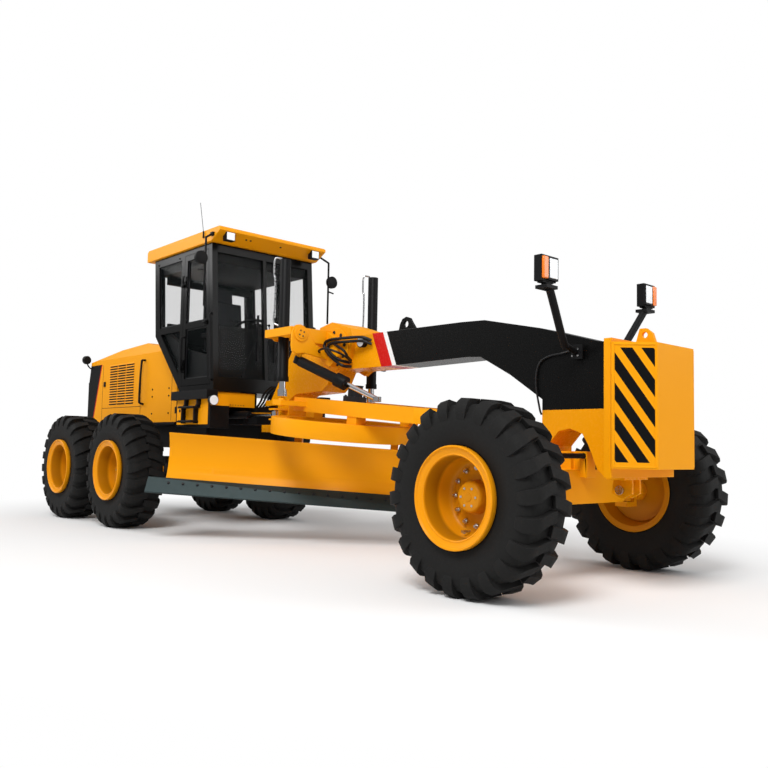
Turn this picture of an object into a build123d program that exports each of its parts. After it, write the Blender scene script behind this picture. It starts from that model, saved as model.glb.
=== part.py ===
from build123d import *
from math import cos, pi, radians, sin
import os

# Motor grader. Millimetres, +X forward, +Y to the left, +Z up.
# The origin is on the ground, on the centre plane, at mid length.

os.makedirs("parts", exist_ok=True)

# Clearances
seat_gap = 0.3
run_gap = 0.05
move_gap = 5.0

# Wheels
tyre_radius = 674.0
tyre_half_width = 222.5
track_half = 1099.0
front_axle_x = 3645.0
tandem_x = -2661.0
tandem_half = 765.25
tandem_inner = track_half - 409
tandem_outer = tandem_inner + 160
bead_radius = 317.0
spindle_radius = 60.0

# Articulation
pivot_x = -305.0
pivot_pin_radius = 45.0
nose_low = 1240.0
nose_high = 1440.0

# Gooseneck
beam_half = 160.0

# Drawbar and circle, pitched with the rear end higher
pitch = 5.0
circle_x = 945.0
drawbar_top_z = 1474.0
drawbar_depth = 140.0
circle_drop = 212.0
circle_depth = 170.0
circle_outer = 775.0
circle_inner = 620.0
ball_x = 3245.0
ball_z = 1000.0
ball_radius = 75.0

# Blade, in the circle's plane: along the blade, behind it, up from the drawbar's top
blade_azimuth = 48.1
blade_right = -2025.0
mould_right = -1845.0
blade_left = 1875.0
tip_back = 360.0
tip_low = -640.0

# Lift cylinders
lift_x = 615.0
lift_y = 600.0
trunnion_z = 2130.0

# Centre shift cylinder, whose pin leans so that the rod's eye stays level as the drawbar swings
shift_base = Vector(870, -600, 1850)
shift_eye = Vector(1690, -270, 1452)
shift_pin = Vector(0.4138, 0.0717, 0.9075)

# Cab
cab_half = 710.0
cab_wall = 50.0
roof_half = cab_half + 37.5
pane_y = cab_half - 26
hinge_x = -1290.0
hinge_y = cab_half + 22

pitch_x = Vector(cos(radians(pitch)), 0, -sin(radians(pitch)))
pitch_z = Vector(sin(radians(pitch)), 0, cos(radians(pitch)))
blade_dir = pitch_x * cos(radians(blade_azimuth)) + Vector(0, 1, 0) * sin(radians(blade_azimuth))
drawbar_plane = Plane(origin=(circle_x, 0, drawbar_top_z), x_dir=pitch_x, z_dir=pitch_z)
blade_plane = Plane(origin=(circle_x, 0, drawbar_top_z), x_dir=blade_dir, z_dir=pitch_z)


def outline(points, plane):
    """A closed polygon drawn on a plane."""
    with BuildSketch(plane) as sketch:
        with BuildLine():
            Polyline(*points, close=True)
        make_face()
    return sketch.sketch


def slab_y(points, y0, y1, mode=Mode.ADD):
    """A side outline of (x, z) points, thick from y0 to y1."""
    low, high = min(y0, y1), max(y0, y1)
    extrude(outline(points, Plane.XZ.offset(-high)), amount=high - low, mode=mode)


def slab_x(points, x0, x1, mode=Mode.ADD):
    """A front outline of (y, z) points, thick from x0 to x1."""
    extrude(outline(points, Plane.YZ.offset(x0)), amount=x1 - x0, mode=mode)


def slab_z(points, z0, z1, mode=Mode.ADD):
    """A plan outline of (x, y) points, thick from z0 to z1."""
    extrude(outline(points, Plane.XY.offset(z0)), amount=z1 - z0, mode=mode)


def block(x0, x1, y0, y1, z0, z1, mode=Mode.ADD):
    """A box between two corners."""
    low, high = min(y0, y1), max(y0, y1)
    with Locations(((x0 + x1) / 2, (low + high) / 2, (z0 + z1) / 2)):
        Box(x1 - x0, high - low, z1 - z0, mode=mode)


def bar(start, end, radius, mode=Mode.ADD):
    """A round bar between two points."""
    line = Vector(*end) - Vector(*start)
    with BuildSketch(Plane(origin=start, z_dir=line)) as sketch:
        Circle(radius)
    extrude(sketch.sketch, amount=line.length, mode=mode)


def turned(profile, x, y, z, side, mode=Mode.ADD):
    """A revolved profile of (outward y, radius) points about a wheel's axis."""
    points = [(y + side * out, z + radius) for out, radius in profile]
    revolve(outline(points, Plane.YZ.offset(x)), axis=Axis((x, 0, z), (0, 1, 0)), mode=mode)


def ring(out, radii, turn, wheel):
    """Points round a wheel's axis at one distance outward."""
    x, y, z, side = wheel
    step = 2 * pi / len(radii)
    return [Vector(x + r * sin(turn + step * k), y + side * out, z + r * cos(turn + step * k))
            for k, r in enumerate(radii)]


def faceted(rings):
    """Flat faces from each ring of points to the next, and from the last to the first."""
    faces = []
    for near, far in zip(rings, rings[1:] + rings[:1]):
        coarse, fine = (near, far) if len(near) <= len(far) else (far, near)
        if len(fine) == 1:
            continue
        many = len(fine) // len(coarse)
        for k, a in enumerate(coarse):
            b = coarse[(k + 1) % len(coarse)]
            edge = [fine[(k * many + i) % len(fine)] for i in range(many + 1)]
            middle = (many + 1) // 2
            corners = [(a, edge[i], edge[i + 1]) for i in range(middle)]
            corners += [(b, edge[i], edge[i + 1]) for i in range(middle, many)]
            if len(coarse) > 1:
                corners.append((a, edge[middle], b))
            if many == 1 and abs((b - a).cross(edge[1] - a).dot(edge[0] - a)) < 1e-3:
                corners = [(a, b, edge[1], edge[0])]
            for points in corners:
                faces.append(Face(Wire.make_polygon(points, close=True)))
    add(Solid(Shell(faces)))


def knob(x, y, z, radius, around=False, mode=Mode.ADD):
    """A ball of flat bands turned about X, inside a sphere or, if around, just outside it."""
    bands = 8
    step = pi / bands
    if around:
        reach = radius / cos(step / 2)
        turns = [-pi / 2 + step / 2 + step * k for k in range(bands)]
    else:
        reach = radius
        turns = [-pi / 2 + step * k for k in range(1, bands)]
    points = [(x - radius, y)] + [(x + reach * sin(t), y + reach * cos(t)) for t in turns]
    points.append((x + radius, y))
    revolve(outline(points, Plane.XY.offset(z)), axis=Axis((x, y, z), (1, 0, 0)), mode=mode)


def place(a, b, w, plane=blade_plane):
    """A point of the blade's own frame as a point of the whole machine."""
    return tuple(plane.from_local_coords(Vector(a, b, w)))


def section(points, a0, a1, mode=Mode.ADD):
    """A cross section of (behind, up) points, carried along the blade from a0 to a1."""
    origin = blade_plane.from_local_coords(Vector(a0, 0, 0))
    side = Plane(origin=origin, x_dir=blade_plane.y_dir, z_dir=blade_dir)
    extrude(outline(points, side), amount=a1 - a0, mode=mode)


def save(builder, name):
    builder.part.label = name
    export_step(builder.part, f"parts/{name}.step")


sides = (("right", -1), ("left", 1))

# ---------------------------------------------------------------- wheels
lugs = 22
lug_height = 36.0
shoulder_radius = 585.0
bulge_radius = 470.0
high, low = tyre_radius, tyre_radius - lug_height
rim_profile = [
    (-200, 345),
    (-182, bead_radius),
    (182, bead_radius),
    (200, 352),
    (244, 352),
    (186, 297),
    (-30, 262),
    (-30, 108),
    (78, 100),
    (78, 0),
    (-66, 0),
    (-66, 262),
    (-186, 300),
]
wheels = (
    ("front_right", front_axle_x, -1),
    ("front_left", front_axle_x, 1),
    ("middle_right", tandem_x + tandem_half, -1),
    ("middle_left", tandem_x + tandem_half, 1),
    ("rear_right", tandem_x - tandem_half, -1),
    ("rear_left", tandem_x - tandem_half, 1),
)
for wheel_name, wheel_x, side in wheels:
    centre = (wheel_x, side * track_half, tyre_radius, side)
    with BuildPart() as tyre:
        faceted([ring(-150, [high, high, low] * lugs, 0, centre),
                 ring(-20, [high, high, low] * lugs, -0.05, centre),
                 ring(20, [low, high, high] * lugs, -0.05, centre),
                 ring(150, [low, high, high] * lugs, 0, centre),
                 ring(tyre_half_width, [shoulder_radius] * 3 * lugs, 0, centre),
                 ring(tyre_half_width - 12, [bulge_radius] * lugs, 0, centre),
                 ring(176, [bead_radius + seat_gap] * lugs, 0, centre),
                 ring(-176, [bead_radius + seat_gap] * lugs, 0, centre),
                 ring(12 - tyre_half_width, [bulge_radius] * lugs, 0, centre),
                 ring(-tyre_half_width, [shoulder_radius] * 3 * lugs, 0, centre)])
    save(tyre, f"tyre_{wheel_name}")
    with BuildPart() as rim:
        faceted([ring(out, [r] * lugs if r else [0], 0, centre) for out, r in rim_profile])
        bar((wheel_x, side * (track_half - 80), tyre_radius),
            (wheel_x, side * (track_half + 20), tyre_radius), spindle_radius + run_gap,
            Mode.SUBTRACT)
    save(rim, f"rim_{wheel_name}")

# ---------------------------------------------------------------- rear frame
spindle_root = track_half - 72
spindle_tip = track_half + 14
with BuildPart() as rear_frame:
    for side in (-1, 1):
        slab_y([(-4480, 950), (-4480, 1240), (-1500, 1240), (-1250, 1240),
                (-1250, 1000), (-1500, 950)], side * 250, side * 380)
    block(-4480, -1840, -500, 500, 1240, 1270 - seat_gap)
    block(-4480, -4380, -250, 250, 950, 1240)
    block(-1500, -1250, -380, 380, 1000, 1240)
    slab_z([(-1500, -380), (-1500, 380), (-900, 300), (-560, 120), (pivot_x, 120),
            (pivot_x, -120), (-560, -120), (-900, -300)], nose_low, nose_high)
    bar((pivot_x, 0, nose_low), (pivot_x, 0, nose_high), 120)
    bar((pivot_x, 0, nose_low), (pivot_x, 0, nose_high), pivot_pin_radius + run_gap, Mode.SUBTRACT)
    # Posts that carry the cab and the platform boxes
    for side in (-1, 1):
        block(-1460, -1340, side * 280, side * 380, 1440, 1600 - seat_gap)
        block(-1460, -1340, side * 380, side * 700, 1360, 1440)
        block(-760, -660, side * 180, side * 230, nose_low, 1600 - seat_gap)
        block(-2730, -2592, side * 250, side * 380, 830, 950)
        block(-960, -880, side * 280, side * (560 - seat_gap), 1400, nose_high)
        # Lugs and pins for the articulation cylinders
        block(-1150, -1078, side * 250, side * 450, 1275, 1304)
        block(-1150, -1078, side * 250, side * 450, 1376, 1405)
        bar((-1100, side * 410, 1275), (-1100, side * 410, 1405), 20)
save(rear_frame, "rear_frame")

with BuildPart() as engine_block:
    block(-4100, -2500, -300, 300, 1270, 2050)
save(engine_block, "engine_block")

hood_side = [(-4535, 1270), (-4535, 1900), (-4475, 2180), (-4145, 2220), (-3505, 2300),
             (-2735, 2340), (-2525, 2290), (-2049, 2289), (-1800, 2025), (-1800, 1270)]
hood_inside = [(-4600, 1200), (-4600, 1890), (-4460, 2163), (-4145, 2202), (-3505, 2282),
               (-2735, 2322), (-2525, 2272), (-2057, 2271), (-1818, 2018), (-1818, 1200)]
hood_half = 500.0
with BuildPart() as hood_core:
    slab_y(hood_inside, -hood_half + 18, hood_half - 18)
    for side in (-1, 1):
        slab_x([(side * 404, 2400), (side * 520, 2400), (side * 520, 2128 - 80)],
               -4700, -1700, Mode.SUBTRACT)
with BuildPart() as hood:
    slab_y(hood_side, -hood_half, hood_half)
    # The upper edges are cut at a slant
    for side in (-1, 1):
        slab_x([(side * 430, 2400), (side * 520, 2400), (side * 520, 2130)],
               -4700, -1700, Mode.SUBTRACT)
    add(hood_core.part, mode=Mode.SUBTRACT)
save(hood, "hood")

with BuildPart() as hood_rear:
    block(-4560, -4535 - seat_gap, -500, 500, 1270, 1890)
    block(-4600, -4560, -380, 380, 1330, 1830)
save(hood_rear, "rear_grille")

# ---------------------------------------------------------------- tandems
with BuildPart() as rear_axle:
    bar((tandem_x, seat_gap - tandem_inner, tyre_radius),
        (tandem_x, tandem_inner - seat_gap, tyre_radius), 120)
    block(tandem_x - 170, tandem_x + 170, -200, 200, 500, 830 - seat_gap)
    block(tandem_x - 100, tandem_x + 100, -400, 400, 700, 830 - seat_gap)
save(rear_axle, "rear_axle")
for side_name, side in sides:
    with BuildPart() as tandem:
        slab_y([(tandem_x - 960, 560), (tandem_x - 960, 790), (tandem_x - 880, 860),
                (tandem_x + 880, 860), (tandem_x + 960, 790), (tandem_x + 960, 560),
                (tandem_x + 880, 490), (tandem_x - 880, 490)], side * tandem_inner,
               side * tandem_outer)
        for step in (-1, 1):
            axle = tandem_x + step * tandem_half
            bar((axle, side * tandem_outer, tyre_radius), (axle, side * (tandem_outer + 150), tyre_radius),
                150)
            bar((axle, side * (tandem_outer + 150), tyre_radius), (axle, side * spindle_tip, tyre_radius),
                spindle_radius)
    save(tandem, f"tandem_{side_name}")

with BuildPart() as hitch:
    block(-4610, -4480 - seat_gap, -90, 90, 960, 1000)
    block(-4610, -4480 - seat_gap, -90, 90, 1080, 1120)
    block(-4500, -4480 - seat_gap, -160, 160, 950, 1130)
    bar((-4565, 0, 900), (-4565, 0, 1200), 25, Mode.SUBTRACT)
save(hitch, "rear_hitch")

# ---------------------------------------------------------------- cab
cab_outer = [(-2085, 3300), (-2005, 2330), (-1345, 1630), (-1345, 1600), (-555, 1600),
             (-687, 3300)]
cab_inner = [(-2031, 3252), (-1955, 2351), (-1305, 1660), (-614, 1660), (-738, 3252)]
door_hole = [(-1300, 1680), (-612, 1680), (-734, 3232), (-1300, 3232)]
with BuildPart() as cab:
    slab_y(cab_outer, -cab_half, cab_half)
    slab_y(cab_inner, -cab_half + cab_wall, cab_half - cab_wall, Mode.SUBTRACT)
    # Doorways and side windows through both walls
    slab_y([(-1306, 1674), (-634, 1674), (-757, 3238), (-1306, 3238)], -800, 800, Mode.SUBTRACT)
    slab_y([(-1968, 3200), (-1900, 2420), (-1380, 2420), (-1380, 3200)], -800, 800, Mode.SUBTRACT)
    slab_y([(-1870, 2340), (-1380, 1820), (-1380, 2340)], -800, 800, Mode.SUBTRACT)
    # Windscreen and rear window
    slab_x([(70 - cab_half, 1760), (cab_half - 70, 1760), (cab_half - 70, 3200),
            (70 - cab_half, 3200)], -800, -500, Mode.SUBTRACT)
    slab_x([(110 - cab_half, 2420), (cab_half - 110, 2420), (cab_half - 110, 3180),
            (110 - cab_half, 3180)], -2200, -1950, Mode.SUBTRACT)
    slab_y([(-616, 1700), (-563, 1700), (-682, 3240), (-737, 3240)], -22, 22)
    # Door hinges
    for side in (-1, 1):
        for low in (1900, 2900):
            block(-1345, -1310, side * (cab_half - 20), side * (cab_half + 8), low - 40,
                  low - 8)
            block(-1345, hinge_x + 8, side * (cab_half + 4), side * (hinge_y + 6), low - 40, low - 8)
            bar((hinge_x, side * hinge_y, low - 40), (hinge_x, side * hinge_y, low - seat_gap), 16)
            bar((hinge_x, side * hinge_y, low - 40), (hinge_x, side * hinge_y, low + 80), 8)
save(cab, "cab_frame")

with BuildPart() as roof:
    slab_y([(-2232, 3300 + seat_gap), (-2232, 3425), (-2200, 3447), (-480, 3447), (-455, 3430),
            (-455, 3400), (-640, 3300 + seat_gap)], -roof_half, roof_half)
save(roof, "cab_roof")

with BuildPart() as glass:
    for side in (-1, 1):
        slab_y([(-1966, 3199.7), (-1899.7, 2420.3), (-1380.3, 2420.3), (-1380.3, 3199.7)],
               side * pane_y, side * (pane_y + 6))
        slab_y([(-1869, 2339.7), (-1380.3, 1821), (-1380.3, 2339.7)], side * pane_y, side * (pane_y + 6))
        slab_y([(-590, 1760.3), (-584, 1760.3), (-696, 3199.7), (-702, 3199.7)],
               side * 22.3, side * (cab_half - 70.3))
    slab_y([(-1992.3, 2420.3), (-1986.3, 2420.3), (-2050, 3179.7), (-2056, 3179.7)],
           110.3 - cab_half, cab_half - 110.3)
save(glass, "cab_glass")

with BuildPart() as seat:
    block(-1300, -1080, -160, 160, 1660 + seat_gap, 1690)
    block(-1260, -1120, -90, 90, 1690, 2020)
    block(-1560, -1080, -250, 250, 2020, 2140)
    slab_y([(-1560, 2100), (-1460, 2100), (-1540, 2800), (-1640, 2800)], -240, 240)
    slab_y([(-1550, 2780), (-1620, 2780), (-1645, 2980), (-1575, 2980)], -120, 120)
save(seat, "operator_seat")

with BuildPart() as console:
    slab_y([(-920, 1660 + seat_gap), (-800, 1660 + seat_gap), (-860, 2300), (-940, 2300)],
           -110, 110)
    for side in (-1, 1):
        slab_y([(-960, 2240), (-880, 2240), (-880, 2320), (-960, 2320)], side * 110, side * 300)
    with Locations(Plane(origin=(-965, 0, 2420), z_dir=(-0.4, 0, 0.92))):
        Cylinder(16, 250)
        Box(380, 26, 10)
    wheel_plane = Plane(origin=(-965, 0, 2420), z_dir=(-0.4, 0, 0.92)).offset(-12)
    with BuildSketch(wheel_plane) as wheel:
        RegularPolygon(204, 24)
        RegularPolygon(178, 24, mode=Mode.SUBTRACT)
    extrude(wheel.sketch, amount=24)
save(console, "steering_console")

# Doors swing on a vertical line behind their rear edges
door_side = [(-1300, 1680), (-640, 1680), (-762, 3232), (-1300, 3232)]
door_upper = [(-1240, 2420), (-760, 2420), (-814, 3170), (-1240, 3170)]
door_lower = [(-1240, 1760), (-708, 1760), (-754, 2350), (-1240, 2350)]
for side_name, side in sides:
    with BuildPart() as door:
        slab_y(door_side, side * (cab_half - 44), side * cab_half)
        slab_y(door_upper, side * (cab_half - 100), side * (cab_half + 100), Mode.SUBTRACT)
        slab_y(door_lower, side * (cab_half - 100), side * (cab_half + 100), Mode.SUBTRACT)
        block(-720 - 60, -720, side * cab_half, side * (cab_half + 40), 2375, 2400)
        for low in (1900, 2900):
            bar((hinge_x, side * hinge_y, low), (hinge_x, side * hinge_y, low + 90), 16)
            block(hinge_x, hinge_x + 60, side * (cab_half - 5), side * (hinge_y + 4), low + 20,
                  low + 70)
            bar((hinge_x, side * hinge_y, low - 10), (hinge_x, side * hinge_y, low + 81),
                8 + run_gap, Mode.SUBTRACT)
    save(door, f"cab_door_{side_name}")
    with BuildPart() as pane:
        slab_y([(-1239.7, 2420.3), (-760.4, 2420.3), (-814.3, 3169.7), (-1239.7, 3169.7)],
               side * pane_y, side * (pane_y + 6))
        slab_y([(-1239.7, 1760.3), (-708.4, 1760.3), (-754.4, 2349.7), (-1239.7, 2349.7)],
               side * pane_y, side * (pane_y + 6))
    save(pane, f"door_glass_{side_name}")

# Platform boxes with their steps, and the ledge under the doors
for side_name, side in sides:
    with BuildPart() as steps:
        slab_y([(-1225, 1560), (-1225, 1195), (-455, 1180), (-455, 1560)], side * 560, side * 800)
        block(-1255, -435, side * 720, side * 860, 1500, 1600)
        for rail in (-960, -680):
            slab_y([(rail, 1580), (rail, 1450), (rail - 60, 1400), (rail - 60, 1230),
                    (rail - 30, 1230), (rail - 30, 1390), (rail + 30, 1440), (rail + 30, 1580)],
                   side * 800, side * 850)
        block(-1010, -660, side * 800, side * 900, 1400, 1420)
        block(-1020, -700, side * 800, side * 900, 1240, 1260)
    save(steps, f"step_box_{side_name}")

with BuildPart() as mirrors:
    for side in (-1, 1):
        block(-625, -575, side * (roof_half + seat_gap), side * (roof_half + 27.5), 3350, 3390)
        bar((-600, side * (roof_half + 16.5), 3370), (-545, side * 870, 3300), 12)
        bar((-545, side * 870, 3305), (-545, side * 870, 2530), 12)
        bar((-565, side * 925, 3062), (-525, side * 925, 3062), 75)
        bar((-545, side * 865, 2940), (-545, side * 955, 2925), 9)
    # Aerial
    bar((-805, -roof_half - 12, 3360), (-805, -roof_half - 12, 3440), 9)
    bar((-805, -roof_half - 12, 3430), (-895, -roof_half - 12, 3790), 3)
    block(-815, -795, -roof_half - 14, -roof_half - seat_gap, 3360, 3380)
save(mirrors, "mirrors")

# ---------------------------------------------------------------- front frame
beam_side = [(165, 2050), (-225, 1510), (-225, 1448), (-90, 1448), (-90, 1232), (-90, 1150),
             (90, 1150), (120, 1240), (120, 1500), (250, 1560), (700, 1575), (790, 1640), (875, 1780),
             (1715, 1775), (2715, 1790), (2865, 1780), (3185, 1610), (3505, 1400), (3505, 900),
             (3560, 900), (3560, 1040), (3660, 1150), (3763, 1170), (3870, 1130), (3921, 1050),
             (3998, 870), (4080, 800), (4225, 800), (4225, 1780), (3995, 1820), (3480, 1966),
             (2905, 2090), (2645, 2100), (1505, 2110), (600, 2120)]
with BuildPart() as gooseneck:
    slab_y(beam_side, -beam_half, beam_half)
    slab_z([(-380, -130), (-90, -160), (-90, 160), (-380, 130)], nose_high + 8, 1510)
    slab_z([(-430, -140), (80, -160), (80, 160), (-430, 140)], 1150, nose_low - 8)
    bar((pivot_x, 0, 1150), (pivot_x, 0, 1510), pivot_pin_radius)
    # Lugs for the articulation cylinders
    for side in (-1, 1):
        block(0, 110, side * 150, side * 340, 1385, 1405)
        block(0, 110, side * 150, side * 340, 1275, 1295)
    # Lifting eye
    slab_y([(1690, 2106), (1950, 2105), (1880, 2195), (1850, 2240), (1798, 2258), (1746, 2240),
            (1716, 2195)], -15, 15)
    bar((1798, -40, 2186), (1798, 40, 2186), 32, Mode.SUBTRACT)
    # Tow bracket
    for side in (-1, 1):
        slab_y([(4080, 820), (4060, 700), (4150, 660), (4225, 700), (4225, 820)],
               side * 40, side * 65)
    bar((4140, -80, 725), (4140, 80, 725), 22, Mode.SUBTRACT)
save(gooseneck, "gooseneck")

with BuildPart() as saddle:
    slab_y([(700, 2080), (715, 2230), (915, 2270), (1215, 2180), (1250, 2060), (1180, 1850),
            (1005, 1740), (870, 1800), (785, 1950)], -215, 215)
    slab_y([(690, 1700), (690, 2119), (700, 2120 + seat_gap), (1300, 2113.3 + seat_gap),
            (1300, 1700)], -beam_half - seat_gap, beam_half + seat_gap, Mode.SUBTRACT)
    for side in (-1, 1):
        block(800, 940, side * 200, side * 560, 2030, 2170)
        block(760, 940, side * 455, side * 745, 2090, 2170)
        block(820, 920, side * 560, side * 640, 1910, 2090)
        # Ring that holds the lift cylinder's trunnion
        block(490, 760, side * 455, side * 745, 2090, 2170)
        block(530, 700, side * 495, side * 705, 2000, 2300, Mode.SUBTRACT)
        bar((480, side * lift_y, trunnion_z), (765, side * lift_y, trunnion_z),
            25 + run_gap, Mode.SUBTRACT)
    bar(shift_base - shift_pin * 50, shift_base + shift_pin * 90, 20)
save(saddle, "blade_saddle")

with BuildPart() as nose:
    slab_z([(4225 + seat_gap, -250), (4225 + seat_gap, 250), (4285, 440), (4310, 470),
            (4535, 250), (4535, -250), (4310, -470), (4285, -440)], 885, 1755)
    block(4225 + seat_gap, 4285, -430, 430, 820, 1790)
    slab_y([(4225 + seat_gap, 1790), (4395, 1755), (4360, 1860), (4310, 1900), (4260, 1900)],
           -15, 15)
    bar((4300, -40, 1850), (4300, 40, 1850), 22, Mode.SUBTRACT)
save(nose, "nose_block")

with BuildPart() as lamps:
    for side in (-1, 1):
        block(3800, 3870, side * (beam_half + seat_gap), side * 200, 1700, 1780)
        bar((3835, side * 195, 1740), (3860, side * 380, 1790), 22)
        bar((3860, side * 380, 1790), (3925, side * 650, 2160), 22)
        bar((3925, side * 650, 2155), (3925, side * 682, 2200), 18)
        block(3880, 3945, side * 600, side * 770, 2190, 2375)
save(lamps, "lamp_arms")

# ---------------------------------------------------------------- front axle
lean_y = track_half - 459.0
lean_z = 700.0
king_y = track_half - 299.0
beam_half = lean_y - 80.0
with BuildPart() as axle:
    slab_x([(-beam_half, 600), (-beam_half, 800), (-200, 860), (200, 860), (beam_half, 800),
            (beam_half, 600)],
           front_axle_x - 140, front_axle_x + 140)
    block(front_axle_x - 85 + seat_gap, front_axle_x + 84, -100, 100, 860, 1000)
    # Guide of the tie rod
    block(front_axle_x + 84, front_axle_x + 200, -60, 60, 860, 1000)
    block(front_axle_x + 60, front_axle_x + 200, -60, 60, 800, 870)
    bar((front_axle_x + 170, -80, 965), (front_axle_x + 170, 80, 965), 20 + seat_gap,
        Mode.SUBTRACT)
    for side in (-1, 1):
        block(front_axle_x - 70, front_axle_x + 70, side * beam_half, side * lean_y, 640, 760)
        bar((front_axle_x - 70, side * lean_y, lean_z), (front_axle_x + 70, side * lean_y, lean_z),
            60)
        bar((front_axle_x - 80, side * lean_y, lean_z), (front_axle_x + 80, side * lean_y, lean_z),
            25 + run_gap, Mode.SUBTRACT)
save(axle, "front_axle")

for side_name, side in sides:
    with BuildPart() as lean:
        bar((front_axle_x - 115, side * lean_y, lean_z), (front_axle_x + 115, side * lean_y, lean_z),
            25)
        for x0 in (front_axle_x - 115, front_axle_x + 75):
            block(x0, x0 + 40, side * (lean_y - 50), side * (king_y - 30), 650, 750)
        block(front_axle_x - 115, front_axle_x + 115, side * (king_y - 88), side * (king_y - 30), 650, 750)
        bar((front_axle_x, side * king_y, 590), (front_axle_x, side * king_y, 810), 52)
        bar((front_axle_x, side * king_y, 580), (front_axle_x, side * king_y, 820),
            28 + run_gap, Mode.SUBTRACT)
    save(lean, f"lean_knuckle_{side_name}")
    with BuildPart() as knuckle:
        block(front_axle_x - 55, front_axle_x + 55, side * (king_y - 55), side * (king_y + 62), 815, 855)
        block(front_axle_x - 55, front_axle_x + 55, side * (king_y - 55), side * (king_y + 62), 545, 585)
        block(front_axle_x - 55, front_axle_x + 55, side * (king_y + 58), side * (king_y + 100), 545, 855)
        bar((front_axle_x, side * king_y, 560), (front_axle_x, side * king_y, 840), 28)
        bar((front_axle_x, side * (king_y + 100), tyre_radius),
            (front_axle_x, side * (king_y + 200), tyre_radius), 90)
        bar((front_axle_x, side * (king_y + 200), tyre_radius),
            (front_axle_x, side * spindle_tip, tyre_radius), spindle_radius)
        # Steering arm
        slab_z([(front_axle_x - 40, side * (king_y - 20)), (front_axle_x + 40, side * (king_y - 20)),
                (front_axle_x + 200, side * (king_y - 50)),
                (front_axle_x + 200, side * (king_y - 110)),
                (front_axle_x + 120, side * (king_y - 100))], 845, 868)
    save(knuckle, f"steering_knuckle_{side_name}")

with BuildPart() as tie_rod:
    bar((front_axle_x + 170, 40 - king_y, 965), (front_axle_x + 170, king_y - 40, 965), 20)
    for side in (-1, 1):
        bar((front_axle_x + 170, side * (king_y - 80), 945),
            (front_axle_x + 170, side * (king_y - 80), 988), 30)
save(tie_rod, "tie_rod")

# ---------------------------------------------------------------- drawbar and circle
with BuildPart() as drawbar_ball:
    knob(ball_x, 0, ball_z, ball_radius)
    bar((ball_x, 0, ball_z), (front_axle_x - 140 - seat_gap, 0, ball_z), 30)
    bar((front_axle_x - 160, 0, ball_z), (front_axle_x - 140 - seat_gap, 0, ball_z), 80)
save(drawbar_ball, "drawbar_ball")

with BuildPart() as ball_socket:
    knob(ball_x, 0, ball_z, ball_radius + 15)
    knob(ball_x, 0, ball_z, ball_radius + run_gap, True, Mode.SUBTRACT)
    block(ball_x + 45, ball_x + 200, -200, 200, ball_z - 200, ball_z + 200, Mode.SUBTRACT)
    bar((ball_x, 0, ball_z), (ball_x + 200, 0, ball_z), 58, Mode.SUBTRACT)
save(ball_socket, "ball_socket")

reach = ball_x - circle_x
ball_w = drawbar_plane.to_local_coords(Vector(ball_x, 0, ball_z))
with BuildPart() as drawbar:
    for side in (-1, 1):
        # Straight beam, then the arm that runs in to the ball
        extrude(outline([(-366, side * 280), (-366, side * 420), (1400, side * 420),
                         (ball_w.X - 60, side * 120), (ball_w.X - 60, side * 40),
                         (1330, side * 280)],
                        drawbar_plane.offset(-drawbar_depth)), amount=drawbar_depth)
        # Ears that carry the lift cylinders' balls
        extrude(outline([(-390, side * 400), (-390, side * 670), (-250, side * 670),
                         (-150, side * 400)], drawbar_plane.offset(-90)), amount=50)
        knob(lift_x, side * lift_y, 1456, 38)
        bar((lift_x, side * lift_y, 1400), (lift_x, side * lift_y, 1450), 22)
    # Cross members and the plate that carries the turning drive
    extrude(outline([(40, -300), (40, 300), (160, 300), (160, -300)],
                    drawbar_plane.offset(-drawbar_depth)), amount=drawbar_depth - 20)
    extrude(outline([(700, -300), (700, 300), (820, 300), (820, -300)],
                    drawbar_plane.offset(-drawbar_depth)), amount=drawbar_depth - 20)
    extrude(outline([(-366, -420), (-366, 420), (-290, 420), (-290, -420)],
                    drawbar_plane.offset(-drawbar_depth)), amount=60)
    # Shoes that hang the circle
    for shoe_x, shoe_y in ((-560, 0), (560, 350), (560, -350)):
        extrude(outline([(shoe_x - 70, shoe_y - 60), (shoe_x - 70, shoe_y + 60),
                         (shoe_x + 70, shoe_y + 60), (shoe_x + 70, shoe_y - 60)],
                        drawbar_plane.offset(-circle_drop + 0.5)),
                amount=circle_drop - drawbar_depth + 10)
    extrude(outline([(-630, -60), (-630, 60), (-300, 60), (-300, -60)],
                    drawbar_plane.offset(-drawbar_depth)), amount=40)
    # Drawbar head around the ball
    neck = drawbar_plane.from_local_coords(Vector(ball_w.X - 80, 0, -drawbar_depth / 2))
    extrude(outline([(ball_w.X - 180, -140), (ball_w.X - 180, 140), (ball_w.X - 60, 120),
                     (ball_w.X - 60, -120)], drawbar_plane.offset(ball_w.Z + 40)),
            amount=-ball_w.Z - 40)
    bar((ball_x - 150, 0, ball_z), (ball_x + 40, 0, ball_z), 110)
    knob(ball_x, 0, ball_z, ball_radius + 15 + run_gap, True, Mode.SUBTRACT)
    bar((ball_x, 0, ball_z), (ball_x + 60, 0, ball_z), 82, Mode.SUBTRACT)
    # Bracket for the centre shift cylinder
    bar((1690, -270, 1370), (1690, -270, 1412), 30)
save(drawbar, "drawbar")

with BuildPart() as circle:
    with BuildSketch(drawbar_plane.offset(-circle_drop)):
        Circle(circle_outer)
        Circle(circle_inner, mode=Mode.SUBTRACT)
    extrude(amount=-circle_depth)
save(circle, "circle")

ring_low = -circle_drop - circle_depth
with BuildPart() as arms:
    for side in (-1, 1):
        a0 = min(side * 480, side * 560)
        section([(330, ring_low - seat_gap), (530, ring_low - seat_gap), (500, -640),
                 (400, -720), (tip_back - 40, -700), (tip_back - 40, -600), (400, -560)],
                a0, a0 + 80)
        start = place(side * 480, tip_back, tip_low)
        bar(start, place(side * 372, tip_back, tip_low), 30)
save(arms, "circle_arms")

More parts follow.
